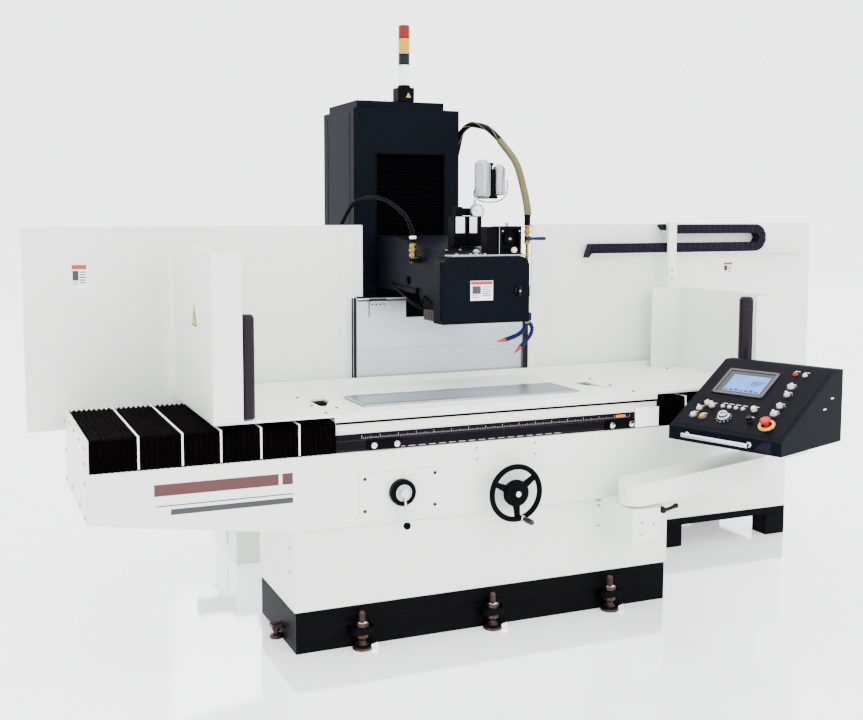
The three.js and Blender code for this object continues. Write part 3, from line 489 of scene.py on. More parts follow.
p = B["plinth"]
feet = [(-615, -26 + Y), (-16, -26 + Y), (574, -26 + Y), (-141, p.y1 - 29), (379, p.y1 - 29)]
for i, (x, y) in enumerate(feet):
    bolt = Shape()
    bolt.lathe([(0, 0), (41, 0), (42, 6), (38, 14), (24, 22), (17, 30), (17, 36), (0, 36)], (x, y, 0), "z",
        40)
    threads = [(14.2 if k % 2 else 12.6, 36 + k * 2.4) for k in range(49)]
    bolt.lathe([(0, 36), *threads, (10, 156), (0, 157)], (x, y, 0), "z", 20)
    bolt.nut((x, y, 92.5), "z", 27, 20)
    bolt.nut((x, y, 46), "z", 25, 17)
    bolt.paint(1)
    side = 1 if y > 0 else -1
    wedge = [(x + 24, 1), (x + 66, 1), (x + 60, 26), (x + 30, 19)]
    bolt.prism(wedge, "y", y - 22, y + 22, bevel=2)
    bolt.lathe([(0, 112), (25, 112), (26, 114), (18, 118), (0, 118)], (x, y, 0), "z", 28)
    bolt.make(f"levelling_foot_{i}", [RUSTY, CHROME], "base")
    lug = Shape()
    lug.prism([(x - 51, y - 2), (x - 51, y + 24 * (-side) + 6), (x + 51, y + 24 * (-side) + 6),
        (x + 51, y - 2), (x + 38, y + 26 * side), (x - 38, y + 26 * side)], "z", 62, 93, bevel=3)
    lug.make(f"foot_lug_{i}", BLACK, "base")

side_foot = Shape()
side_foot.lathe([(0, 0), (28, 0), (29, 5), (24, 13), (12, 18), (12, 62), (0, 63)], (p.x0 - 22, 223 + Y, 0),
    "z", 32)
side_foot.nut((p.x0 - 22, 223 + Y, 30), "z", 19, 13)
side_foot.box(p.x0 - 46, p.x0 + 4, 196 + Y, 250 + Y, 44, 58, bevel=3)
side_foot.make("plinth_side_foot", RUSTY, "base")

bed, ped = B["bed_casting"], B["pedestal_casting"]
screws = Shape()
for side, x in ((-1, bed.x0), (1, bed.x1)):
    for y, z in ((bed.y0 + 26, 915), (bed.y0 + 26, 855), (bed.y0 + 26, 780), (bed.y0 + 26, 650),
            (bed.y0 + 180, 920), (bed.y0 + 360, 922), (bed.y0 + 540, 920), (bed.y0 + 200, 660),
            (bed.y0 + 480, 660), (bed.y1 - 26, 900), (bed.y1 - 26, 780), (bed.y1 - 26, 650)):
        screws.screw((x, y, z), (side, 0, 0), 8, 4)
for x, z in ((-92, 792), (-91, 744.5), (187, 792), (188, 744)):
    screws.screw((x, bed.y0, z), (0, -1, 0), 5, 3)
for z in (330, 430):
    screws.screw((ped.x0, ped.y0 + 60, z), (-1, 0, 0), 6, 3)
    screws.screw((ped.x1, ped.y0 + 60, z), (1, 0, 0), 6, 3)
screws.make("bed_screws", SATIN, "base")

mark = Shape()
mark.box(-1448, -960, bed.y0 - 1.2, bed.y0 + 1, 712, 757, bevel=0.5)
mark.box(-945, -902, bed.y0 - 1.2, bed.y0 + 1, 712, 757, bevel=0.5)
mark.paint(1)
mark.box(-1442, -902, bed.y0 - 1.2, bed.y0 + 1, 671, 675, bevel=0.4)
mark.box(-1386, -902, bed.y0 - 1.2, bed.y0 + 1, 636, 658, bevel=0.5)
mark.make("plain_stripe_mark", [MARK_RED, INK], "base")


# ------------------------------------------------------------------ bellows
def pleated_cover(name, node, fixed, moving, pitch, depth):
    """A folded cloth cover with an upside-down U section between the bed end and the table."""
    b = B[node]
    front, back, top, low = b.y0 + 1, b.y1 - 1, b.z1 - 1, b.z0
    count = int(round((b.x1 - b.x0) / pitch)) * 2
    bm = bmesh.new()
    rings = []
    for i in range(count + 1):
        x = b.x0 + (b.x1 - b.x0) * i / count
        d = depth if i % 2 else 0.0
        line = [(front + d, low), (front + d, top - 22), (front + d + 6, top - d - 6), (front + 22, top - d)]
        line += [(front + (back - front) * k / 6, top - d) for k in range(1, 6)]
        line += [(back - 22, top - d), (back - d - 6, top - d - 6), (back - d, top - 22), (back - d, low)]
        rings.append([bm.verts.new((x, y, z)) for y, z in line])
    for a, c in zip(rings, rings[1:]):
        for k in range(len(a) - 1):
            bm.faces.new((a[k], a[k + 1], c[k + 1], c[k]))
    cover = Shape(bm=bm).make(name, CLOTH, None, replaces=node, smooth=10)
    thick = cover.modifiers.new("cloth_thickness", "SOLIDIFY")
    thick.thickness = 0.0012
    follow(cover, "base", "table", (fixed, 0, 0), (moving, 0, 0))


def divider(name, node, xs, fixed, moving):
    """Pale U-shaped frames between the sections of a folded cover."""
    b = B[node]
    shape = Shape()
    for x in xs:
        shape.box(x - 3.5, x + 3.5, b.y0 - 1.5, b.y0 + 4, b.z0 + 6, b.z1, bevel=0.8)
        shape.box(x - 3.5, x + 3.5, b.y0 - 1.5, b.y1 + 1.5, b.z1 - 3, b.z1 + 1.5, bevel=0.8)
        shape.box(x - 3.5, x + 3.5, b.y1 - 4, b.y1 + 1.5, b.z0 + 6, b.z1, bevel=0.8)
    follow(shape.make(name, SILK_WHITE, None), "base", "table", (fixed, 0, 0), (moving, 0, 0))


left, right = B["bellows_left"], B["bellows_right"]
pleated_cover("bellows_left_folds", "bellows_left", left.x0, left.x1, 21, 10)
pleated_cover("bellows_right_folds", "bellows_right", right.x1, right.x0, 21, 10)
divider("bellows_left_frames", "bellows_left", [-1503, -1337, -1188, -1029, -873], left.x0, left.x1)
divider("bellows_right_frames", "bellows_right", [972, 1118, 1264, 1410, 1556], right.x1, right.x0)

# ------------------------------------------------------------------ table, tray and chuck
table = B["work_table"]


def table_rule(c, n):
    return 1 if c.y < table.y0 + 4 and c.z < table.z0 + 73.5 else 0


refine("work_table", [WHITE, RAIL], bevel=1.6, rule=table_rule)
tray, chuck = B["coolant_tray"], B["magnetic_chuck"]
refine("coolant_tray", WHITE_SHEET, bevel=1.6)

rail = Shape()
rail.box(table.x0 + 2, table.x1 - 2, table.y0 - 0.15, table.y0 + 1, table.z0 + 42, table.z0 + 47, bevel=0.1)
rail.box(table.x0 + 2, table.x1 - 2, table.y0 - 0.15, table.y0 + 1, table.z0 + 4, table.z0 + 8, bevel=0.1)
rail.make("rail_grooves", PHENOLIC, "table")
scale = Shape()
x = table.x0 + 110
k = 0
while x < table.x1 - 150:
    tall = 15 if k % 10 == 0 else 9 if k % 5 == 0 else 6
    scale.box(x, x + 1.4, table.y0 - 0.2, table.y0 + 1, table.z0 + 50, table.z0 + 50 + tall, bevel=0)
    x += 8
    k += 1
for i in range(17):
    scale.box(table.x0 + 270 + i * 46, table.x0 + 300 + i * 46, table.y0 - 0.25, table.y0 + 1,
        table.z0 + 4.6, table.z0 + 7.4, bevel=0.1)
scale.paint(1)
scale.box(table.x1 - 226, table.x1 - 176, table.y0 - 0.25, table.y0 + 1, table.z0 + 52, table.z0 + 64,
    bevel=0.1)
scale.make("rail_scale", [SATIN, AMBER], "table")
plate = Shape()
plate.box(table.x1 - 126, table.x1 - 2, table.y0 - 6, table.y0 + 1, table.z0 + 2, table.z0 + 89, bevel=1.5)
plate.make("rail_end_plate", SILK_WHITE, "table")
# Painted shadow: a dark strip along the underside of the tray's front lip stands in for the shadow the lip
# casts on the table's white edge.
tray_lip_shadow = Shape()
tray_lip_shadow.box(table.x0 + 4, table.x1 - 4, tray.y0 - 1.2, tray.y0 + 3, tray.z0 - 9, tray.z0 - 1, bevel=0.5)
tray_lip_shadow.make("tray_lip_painted_shadow", DARK, "table")

face = Shape()
face.box(chuck.x0, chuck.x1, chuck.y0, chuck.y1, chuck.z0, chuck.z1 - 1.0, bevel=1.5)
face.paint(1)
for i in range(103):
    x = chuck.x0 + 9 + i * 10
    face.box(x, x + 4, chuck.y0 + 40, chuck.y1 - 40, chuck.z1 - 1.6, chuck.z1 - 0.2, bevel=0.2, segments=1)
face.paint(2)
for y0, y1 in ((chuck.y0 + 3, chuck.y0 + 36), (chuck.y1 - 36, chuck.y1 - 3)):
    face.box(chuck.x0 + 3, chuck.x1 - 3, y0, y1, chuck.z1 - 1.6, chuck.z1 - 0.1, bevel=0.4)
face.make("magnetic_chuck_face", [CHUCK, STEEL, BLUE_STEEL], "table", replaces="magnetic_chuck")
frame_strip = Shape()
for y0, y1 in ((chuck.y0 - 26, chuck.y0 - 8), (chuck.y1 + 8, chuck.y1 + 26)):
    frame_strip.box(chuck.x0 - 28, chuck.x1 + 28, y0, y1, tray.z0 + 11, tray.z0 + 37, bevel=2)
for x0, x1 in ((chuck.x0 - 28, chuck.x0 - 8), (chuck.x1 + 8, chuck.x1 + 28)):
    frame_strip.box(x0, x1, chuck.y0 - 8, chuck.y1 + 8, tray.z0 + 11, tray.z0 + 36, bevel=2)
frame_strip.make("chuck_surround", WHITE_SHEET, "table")
tray_screws = Shape()
for x, y in ((-395, 408), (-27, 408), (358, 410), (745, 437), (728, 232), (724, 37), (-738, 447),
        (-745, 222), (-744, 38), (-663, 137), (1320, 606), (-1100, 640)):
    tray_screws.screw((x, y + Y, B["coolant_tray"].z0 + 34 - 0.2), (0, 0, 1), 7, 4)
tray_screws.make("tray_screws", RUSTY, "table")
grate = Shape()
for x0, x1 in ((-710, -636), (614, 688)):
    grate.box(x0, x1, 330 + Y, 398 + Y, 953.2, 955, bevel=0.3)
    for i in range(6):
        grate.box(x0 + 4 + i * 12, x0 + 8 + i * 12, 332 + Y, 396 + Y, 955, 962, bevel=0.6)
grate.make("drain_grates", DARK, "table")

for side in ("left", "right"):
    refine(f"side_guard_{side}", WHITE_SHEET, bevel=1.6)
    u = B[f"guard_upright_{side}"]
    post = Shape()
    profile = [(0, u.z0), (31, u.z0), (32, u.z0 + 2), (32, u.z1 - 14), (29, u.z1 - 9), (25, u.z1 - 2),
        (22, u.z1), (0, u.z1)]
    post.lathe(profile, (u.cx, u.cy, 0), "z", 40)
    for z in (u.z0 + 40, u.z1 - 60):
        post.lathe([(0, z), (32.6, z), (33, z + 2), (32.6, z + 4), (0, z + 4)], (u.cx, u.cy, 0), "z", 40)
    post.make(f"guard_upright_{side}_turned", PURPLE, "table", replaces=f"guard_upright_{side}", smooth=40)

for side in ("left", "right"):
    d = B[f"trip_dog_{side}"]
    dog = Shape()
    dog.box(d.x0, d.x1, d.y1 - 8, d.y1, d.z0, d.z1, bevel=1.8)
    dog.box(d.x0 + 10, d.x1 - 10, d.y1 - 14, d.y1 - 6, d.z0 + 6, d.z1 - 8, bevel=2)
    dog.paint(1)
    for x in (d.cx - 50, d.cx + 50):
        dog.lathe([(0, 0), (11, 0), (13, 2), (13, 12), (11.5, 15), (5, 16), (0, 15.4)],
            (x, d.y0 + 16, d.cz), (0, -1, 0), 28)
        for dx, dz in around(14, 12.6):
            dog.lathe([(0, 2), (1, 2), (1, 13), (0, 13)], (x + dx, d.y0 + 16, d.cz + dz), (0, -1, 0), 6)
    dog.make(f"trip_dog_{side}_body", [DARK, CHROME], f"dog_{side}", replaces=f"trip_dog_{side}")

# ------------------------------------------------------------------ splash panels, curtain and cable chain
refine("splash_panel_left", WHITE_SHEET, bevel=1.8)
refine("splash_panel_right", WHITE_SHEET, bevel=1.8)
guides = Shape()
guides.box(-376, -368, 742 + Y, 746 + Y, 986, 1384, bevel=0.8)
guides.box(-366, -351, 741 + Y, 745 + Y, 986, 1384, bevel=1)
guides.box(546, 572, 741 + Y, 745 + Y, 986, 1384, bevel=1)
guides.make("curtain_guides", PURPLE, "base")
for i, name in enumerate(("curtain_plate_upper", "curtain_plate_middle", "curtain_plate_lower")):
    c = B[name]
    home = ("curtain_upper", "curtain_middle", "base")[i]
    refine(name, CURTAIN, bevel=0.8)
    if home == "curtain_middle":
        continue
    # Painted shade: dark grey lines along the tops of the plates, and a double line near the lower plate's
    # foot, stand in for the shadow under the overlapping lips. The upper plate also gets a real dark bracket
    # with four screws.
    seam_shade_trim = Shape()
    for x0, x1 in ((c.x0 + 4, -98), (352, c.x1 - 4)) if i == 0 else ((c.x0 + 4, c.x1 - 4),):
        seam_shade_trim.box(x0, x1, c.y0 - 0.15, c.y0 + 2, c.z1 - 15, c.z1 - 8, bevel=0.1)
    if i == 0:
        seam_shade_trim.box(c.x0 + 60, c.x0 + 64, c.y0 - 1.4, c.y0 + 2, c.z1 - 90, c.z1 - 8, bevel=0.5)
        seam_shade_trim.box(c.x0 + 62, c.x0 + 150, c.y0 - 1.8, c.y0 + 2, c.z1 - 14, c.z1 - 2, bevel=0.8)
        for k in range(4):
            seam_shade_trim.screw((c.x0 + 78 + k * 20, c.y0, c.z1 - 30), (0, -1, 0), 4, 2.5)
    if i == 2:
        for z in (1000, 1019):
            seam_shade_trim.box(c.x0 + 4, c.x1 - 4, c.y0 - 1.4, c.y0 + 2, z, z + 6, bevel=0.5)
    seam_shade_trim.make(name + "_seam_shade_trim", SEAM_SHADE_AND_BRACKET, home)


def caution_label(name, body, origin, u, n, width, height, band):
    """A plain rectangular notice: a coloured band, a dark square and grey lines, with no words."""
    u, n = Vector(u).normalized(), Vector(n).normalized()
    shape = Shape(local_frame(Vector(origin), u, n.cross(u), n))
    shape.paint(0).box(-width / 2, width / 2, -height / 2, height / 2, -0.5, 0.7, bevel=0.3)
    shape.paint(1).box(-width / 2 + 2, width / 2 - 2, height / 2 - height * 0.2, height / 2 - 2, 0.6, 1.1,
        bevel=0.2)
    shape.paint(2).box(-width * 0.42, -width * 0.04, -height * 0.16, height * 0.24, 0.6, 1.1, bevel=0.2)
    for k in range(5):
        y = height * 0.16 - k * height * 0.11
        shape.box(width * 0.02, width * (0.42 - 0.05 * (k % 2)), y, y + height * 0.045, 0.6, 1.0, bevel=0)
    for k in range(2):
        y = -height * 0.24 - k * height * 0.11
        shape.box(-width * 0.42, -width * 0.1, y, y + height * 0.035, 0.6, 1.0, bevel=0)
    shape.make(name, [LABEL, band, INK], body)


def triangle_label(name, body, origin, u, n, size):
    """A plain yellow triangle with a dark bar."""
    u, n = Vector(u).normalized(), Vector(n).normalized()
    s = size / 2
    shape = Shape(local_frame(Vector(origin), u, n.cross(u), n))
    shape.paint(1).prism([(-s, -s * 0.8), (s, -s * 0.8), (0, s)], "z", -0.5, 0.6, bevel=0.3)
    shape.paint(0).prism([(-s * 0.8, -s * 0.68), (s * 0.8, -s * 0.68), (0, s * 0.78)], "z", 0.3, 1.0,
        bevel=0.2)
    shape.paint(1).box(-s * 0.07, s * 0.07, -s * 0.35, s * 0.35, 0.8, 1.4, bevel=0.2)
    shape.make(name, [YELLOW, INK], body)


caution_label("panel_notice_left", "base", (-1615, 780 + Y, 1510), (1, 0, 0), (0, -1, 0), 66, 105, ORANGE)
caution_label("panel_notice_right", "base", (1832, 780 + Y, 1480), (1, 0, 0), (0, -1, 0), 62, 68, ORANGE)
gl = B["side_guard_left"]
triangle_label("guard_notice", "table", (gl.x0, 290 + Y, 1365), (0, -1, 0), (-1, 0, 0), 100)

panel_trim = Shape()
for x in (-1200, -420):
    panel_trim.box(x, x + 2.4, 778.6 + Y, 781 + Y, 900, 1700, bevel=0.5)
for x in (700, 1180, 1760):
    panel_trim.box(x, x + 2.4, 778.6 + Y, 781 + Y, 900, 1560, bevel=0.5)
panel_trim.make("panel_joint_strips", WHITE_SHEET, "base")
panel_screws = Shape()
for x in (-1800, -1400, -1000, -600, 700, 1100, 1500, 1900, 2350):
    for z in (880, 1700):
        panel_screws.screw((x, 780 + Y, z), (0, -1, 0), 6, 3)
panel_screws.make("panel_screws", WHITE_SHEET, "base")

low, high, post = B["chain_run_lower"], B["chain_run_upper"], B["chain_post"]


def link_run(name, b, node, a_body, b_body, start, end):
    shape = Shape()
    count = int((b.x1 - b.x0) / 34)
    pitch = (b.x1 - b.x0) / count
    for i in range(count):
        x = b.x0 + i * pitch
        shape.box(x + 1.2, x + pitch - 1.2, b.y0, b.y0 + 6, b.z0, b.z1, bevel=3)
        shape.box(x + 1.2, x + pitch - 1.2, b.y1 - 6, b.y1, b.z0, b.z1, bevel=3)
        shape.box(x - 4, x + 10, b.y0 + 3, b.y1 - 3, b.z0 + 4, b.z1 - 4, bevel=2)
        shape.box(x + 8, x + pitch - 6, b.y0 + 2, b.y1 - 2, b.z0 + 1, b.z0 + 6, bevel=1.5)
        shape.box(x + 8, x + pitch - 6, b.y0 + 2, b.y1 - 2, b.z1 - 6, b.z1 - 1, bevel=1.5)
        for y, side in ((b.y0, -1), (b.y1, 1)):
            shape.rod((x + 5, y - side, b.cz), (0, side, 0), 2.6, 8, 20, 0.8)
    follow(shape.make(name, CHAIN, None, replaces=node), a_body, b_body, start, end)


link_run("chain_links_lower", low, "chain_run_lower", "base", "chain_bend_low", (low.x0, 0, 0),
    (low.x1, 0, 0))
link_run("chain_links_upper", high, "chain_run_upper", "table", "chain_bend_high", (high.x0, 0, 0),
    (high.x1, 0, 0))
BEND_IN, BEND_OUT = 24, 72
for node, body, first in (("chain_bend_lower", "chain_bend_low", -90),
        ("chain_bend_upper", "chain_bend_high", 0)):
    b = B[node]
    cz, cx = (b.z1 if first else b.z0), b.x0
    bend = Shape()
    for k in range(3):
        for y0, y1, inset in ((b.y0, b.y0 + 6, 0), (b.y1 - 6, b.y1, 0), (b.y0 + 4, b.y1 - 4, 3)):
            r0, r1 = BEND_IN + inset, BEND_OUT - inset
            gap = 0 if inset else 1.2
            angles = [math.radians(first + k * 30 + gap + (30 - 2 * gap) * j / 4) for j in range(5)]
            ring = [(cx + r1 * math.cos(a), cz + r1 * math.sin(a)) for a in angles]
            ring += [(cx + r0 * math.cos(a), cz + r0 * math.sin(a)) for a in reversed(angles)]
            bend.prism(ring, "y", y0, y1, bevel=0.8, segments=1)
    bend.make(node + "_links", CHAIN, body, replaces=node)
refine("chain_post", WHITE_SHEET, bevel=1.6)
clip = Shape()
clip.prism([(low.x0 - 26, low.z0 - 22), (low.x0 - 18, low.z0 - 24), (low.x0 + 4, low.z0 + 6),
    (low.x0 + 30, low.z0 + 6), (low.x0 + 30, low.z1 - 4), (low.x0 - 2, low.z1 - 4)], "y", low.y0 + 4,
    low.y1 - 4, bevel=1.5)
clip.make("chain_fixed_clamp", CHAIN, "base")
hook = Shape()
hook.prism([(post.x0 - 28, 1722), (post.x0 + 2, 1726), (post.x0 + 2, 1690), (post.x0 - 10, 1696)], "y",
    715 + Y, 760 + Y, bevel=1.5)
hook.make("chain_moving_clamp", CHAIN, "table")
post_screws = Shape()
for x, z in ((post.x0 + 25, 1480), (post.x0 + 25, 1440), (post.x0 + 12, 1030), (post.x0 + 38, 1030)):
    post_screws.screw((x, post.y0, z), (0, -1, 0), 6, 3)
post_screws.make("chain_post_screws", SATIN, "table")

# ------------------------------------------------------------------ column
refine("column_casting", NAVY, bevel=8, segments=3)
cb = B["column_bellows"]
folds = bmesh.new()
rows, count = [], 56
for i in range(count + 1):
    z = cb.z0 + (cb.z1 - cb.z0) * i / count
    y = cb.y0 + (12 if i % 2 else 1)
    rows.append([folds.verts.new((x, yy, z)) for x, yy in ((cb.x0, cb.y1 - 4), (cb.x0, y), (cb.cx, y),
        (cb.x1, y), (cb.x1, cb.y1 - 4))])
for a, c in zip(rows, rows[1:]):
    for k in range(4):
        folds.faces.new((a[k], a[k + 1], c[k + 1], c[k]))
way_cover = Shape(bm=folds).make("column_way_cover", DARK, None, replaces="column_bellows", smooth=10)
follow(way_cover, "head", "column", (0, 0, cb.z0), (0, 0, cb.z1))

front_y = 1240 + Y
ways = Shape()
for x0, x1 in ((-40, 20), (260, 320)):
    ways.box(x0, x1, front_y + 50, front_y + 92, 1004, 2086, bevel=3)
ways.paint(1)
ways.lathe([(0, 1006), (20, 1006), (20, 2080), (0, 2080)], (140, front_y + 70, 0), "z", 28)
ways.make("column_ways", [DARK, BLACK], "column")
seams = Shape()
seams.box(-60, -54, front_y - 2, front_y + 3, 1000, 2094, bevel=1)
seams.box(334, 340, front_y - 2, front_y + 3, 1000, 2094, bevel=1)
seams.box(-60, 340, front_y - 2, front_y + 3, 2092, 2099, bevel=1)
seams.box(-181.5, -178, 1300 + Y, 1304 + Y, 920, 2300, bevel=1)
seams.box(-181.5, -178, 1650 + Y, 1654 + Y, 920, 2300, bevel=1)
seams.box(-176, 414, 1718 + Y, 1722 + Y, 2280, 2284, bevel=1)
seams.make("column_seams", BLACK, "column")
back = Shape()
back.box(-120, 360, 1719 + Y, 1726 + Y, 1000, 1700, bevel=2)
for i in range(9):
    back.box(-60, 300, 1724 + Y, 1730 + Y, 1240 + i * 26, 1252 + i * 26, bevel=2)
back.make("column_rear_cover", NAVY, "column")
bolts = Shape()
for x in (-150, 0, 250, 400):
    bolts.screw((x, 1130 + Y, 800), (0, -1, 0), 12, 7)
for x in (-100, 340):
    for z in (1030, 1350, 1670):
        bolts.screw((x, 1726 + Y, z), (0, 1, 0), 7, 4)
for x, z in ((-150, 2290), (390, 2290), (-150, 940), (390, 940)):
    bolts.screw((x, 1240 + Y, z), (0, -1, 0), 7, 4)
bolts.make("column_bolts", BLACK, "column")
gland = Shape()
gland.nut((-181, 1400 + Y, 1640), (-1, 0, 0), 25, 9)
gland.rod((-190, 1400 + Y, 1640), (-1, 0, 0), 14, 18, 28, 2)
gland.nut((419, 1440 + Y, 1990), (1, 0, 0), 27, 9)
gland.rod((428, 1440 + Y, 1990), (1, 0, 0), 12, 20, 28, 2)
gland.make("column_glands", BRASS, "column")

t = B["tower_light"]
tx, ty = t.cx, 1290 + Y
tower = Shape()
tower.box(t.x0, t.x1, t.y0, t.y1, t.z0, t.z0 + 74, bevel=4, segments=3)
tower.lathe([(0, 0), (33, 0), (34, 3), (34, 10), (30, 14), (0, 14)], (tx, ty, t.z0 + 73), "z", 40)


def lens(shape, z0, z1, radius, ribs):
    profile = [(0, z0), (radius - 2, z0)]
    for k in range(ribs):
        a = z0 + 2 + (z1 - z0 - 4) * k / ribs
        b = z0 + 2 + (z1 - z0 - 4) * (k + 1) / ribs
        profile += [(radius - 1.2, a), (radius, (a + b) / 2), (radius - 1.2, b)]
    profile += [(radius - 2, z1), (0, z1)]
    shape.lathe(profile, (tx, ty, 0), "z", 44)


tower.paint(1)
lens(tower, t.z0 + 87, t.z0 + 192, 28.5, 1)
tower.paint(2)
lens(tower, t.z0 + 195, t.z0 + 245, 30, 8)
tower.paint(3)
lens(tower, t.z0 + 248, t.z0 + 329, 30, 12)
tower.paint(4)
lens(tower, t.z0 + 332, t.z1 - 6, 30, 9)
tower.paint(5)
tower.lathe([(0, 0), (29, 0), (30, 2), (26, 6), (0, 7)], (tx, ty, t.z1 - 7), "z", 40)
for z in (t.z0 + 192, t.z0 + 245, t.z0 + 329):
    tower.lathe([(0, 0), (30.6, 0), (30.6, 3), (0, 3)], (tx, ty, z), "z", 40)
tower.make("signal_tower", [BLACK, SILK_WHITE, LAMP_GREEN, LAMP_YELLOW, LAMP_RED, PHENOLIC], "column",
    replaces="tower_light")
triangle_label("tower_notice", "column", (t.cx + 12, t.y0 - 0.4, t.z0 + 34), (1, 0, 0), (0, -1, 0), 32)

# ------------------------------------------------------------------ wheelhead
refine("wheelhead_housing", NAVY, bevel=4)
refine("wheel_guard", NAVY, bevel=1.8)
refine("guard_door", NAVY, bevel=2.2)
g, d = B["wheel_guard"], B["guard_door"]
caution_label("door_notice", "guard_door", (75, d.y0, 1435), (1, 0, 0), (0, -1, 0), 112, 88, ORANGE)
hinges = Shape()
for z in (1318, 1420, 1522):
    hinges.rod((-121, 284 + Y, z), "z", 34, 8.2, 20, 1)
hinges.make("guard_door_hinges", BLACK, "guard_door")
rim = Shape()
rim.box(d.x0 + 18, d.x1 - 10, d.y0 - 1.6, d.y0 + 1, d.z0 + 8, d.z0 + 13, bevel=0.6)
rim.make("guard_door_lip", NAVY, "guard_door")
lat = B["door_latch"]
latch = Shape()
latch.lathe([(0, 0), (16.5, 0), (17, 2), (17, 8), (14, 12), (0, 12.5)], (257, lat.y1, 1430), (0, -1, 0), 36)
latch.prism([(251, 1408), (263, 1408), (264.5, 1430), (263, 1452), (251, 1452), (249.5, 1430)], "y", lat.y0,
    lat.y0 + 18, bevel=2.2)
latch.paint(1)
latch.screw((257, lat.y0 + 0.4, 1430), (0, -1, 0), 3.4, 1.4)
latch.make("door_latch_knob", [PHENOLIC, CHROME], "latch", replaces="door_latch")

head_bits = Shape()
head_bits.lathe([(0, 0), (10, 0), (11, 2), (11, 8), (7, 12), (0, 13)], (140, 640 + Y, 1632), (0, -0.2, 1), 6)
for x, y, z in ((-10, 470, 1614), (60, 470, 1614), (290, 470, 1614), (290, 900, 1667), (-10, 900, 1667)):
    head_bits.screw((x, y + Y, z - 4), (0, 0, 1), 8, 6)
head_bits.paint(1)
for y, z in ((828, 1456), (626, 1372.5)):
    head_bits.lathe([(0, 0), (20, 0), (21, 3), (21, 9), (14, 11), (13, 15), (0, 15)], (-50, y + Y, z),
        (-1, 0, 0), 32)
head_bits.prism([(390 + Y, 1296), (520 + Y, 1296), (560 + Y, 1310), (620 + Y, 1330), (620 + Y, 1392),
    (560 + Y, 1372), (470 + Y, 1352), (390 + Y, 1348)], "x", -62, -48, bevel=3)
head_bits.box(-66, -47, 700 + Y, 980 + Y, 1398, 1424, bevel=4)
head_bits.paint(2)
head_bits.box(-88, -48, 386 + Y, 556 + Y, 1287, 1336, bevel=4)
for k in range(5):
    head_bits.box(-90, -86, 400 + k * 31 + Y, 416 + k * 31 + Y, 1293, 1330, bevel=1.2)
head_bits.make("wheelhead_fittings", [BRASS, DARK, RUSTY], "head")
cable = Shape()
line, _ = curve([(-58, 640 + Y, 1340), (-74, 690 + Y, 1350), (-78, 800 + Y, 1380), (-66, 940 + Y, 1410),
    (-58, 1020 + Y, 1430)], 60)
cable.tube(line, 7, 12)
line, _ = curve([(-58, 600 + Y, 1330), (-72, 660 + Y, 1336), (-74, 780 + Y, 1362), (-62, 930 + Y, 1404)], 60)
cable.tube(line, 5, 12)
cable.make("wheelhead_cables", DARK, "head")
fit = Shape()
fx, fy = -86, 684 + Y
fit.paint(0).rod((fx, fy, 1660), "z", 14, 16, 28, 2)
fit.paint(2).rod((fx, fy, 1641), "z", 18, 14, 28, 2)
fit.paint(1)
for z, radius, height in ((1577, 17, 16), (1600, 19, 14), (1620, 16, 16)):
    fit.nut((fx, fy, z), "z", radius, height)
fit.lathe([(0, 1574), (12, 1574), (12, 1641), (0, 1641)], (fx, fy, 0), "z", 28)
fit.box(fx - 14, -50, fy - 14, fy + 14, 1545, 1575, bevel=5)
fit.make("conduit_fitting", [SILK_WHITE, BRASS, BLACK], "head")

dr = B["dresser_unit"]
dresser = Shape()
dresser.box(dr.x0, dr.x1, dr.y0 + 14, dr.y1, dr.z0, dr.z0 + 8, bevel=1.5)
for x in (-30, 40, 112, 150, 300):
    dresser.screw((x, dr.y0 + 34, dr.z0 + 8), (0, 0, 1), 7, 6)
dresser.lathe([(0, 0), (10, 0), (10, 8), (16, 12), (16, 18), (8, 24), (0, 25)], (72, dr.y0 + 40, dr.z0 + 8),
    "z", 24)
dresser.paint(1)
dresser.box(118, 177, 312 + Y, 372 + Y, dr.z0 + 6, 1720, bevel=2.5)
dresser.box(175, 288, 330 + Y, 378 + Y, dr.z0 + 6, 1722, bevel=2.5)
dresser.box(175, 187, 302 + Y, 334 + Y, dr.z0 + 8, 1722, bevel=1.6)
dresser.box(276, 288, 302 + Y, 334 + Y, dr.z0 + 8, 1722, bevel=1.6)
dresser.box(175, 288, 302 + Y, 334 + Y, 1708, 1722, bevel=1.6)
dresser.box(175, 288, 302 + Y, 334 + Y, dr.z0 + 8, dr.z0 + 20, bevel=1.6)
dresser.lathe([(0, 0), (24, 0), (26, 3), (26, 16), (20, 20), (0, 20)], (232, 332 + Y, 1664), (0, -1, 0), 36)
dresser.paint(0)
dresser.box(173.8, 176.4, 301 + Y, 304 + Y, dr.z0 + 8, 1722, bevel=0.5)
dresser.lathe([(0, 0), (9, 0), (9, 5), (7, 8), (7, 14), (10, 16), (10, 21), (0, 22)], (231, 338 + Y, 1716),
    "z", 20)
dresser.lathe([(0, 20), (6, 20), (7, 26), (4, 30), (0, 31)], (232, 332 + Y, 1664), (0, -1, 0), 20)
dresser.screw((191, 302 + Y, 1700), (0, -1, 0), 4, 2.5)
dresser.screw((277, 302 + Y, 1700), (0, -1, 0), 4, 2.5)
dresser.paint(2)
dresser.lathe([(0, 0), (11, 0), (13, 3), (13, 12), (10, 15), (0, 16)], (246, 302 + Y, 1614), (0, -1, 0), 32)
dresser.make("wheel_dresser", [SATIN, BLACK, IVORY], "head", replaces="dresser_unit")

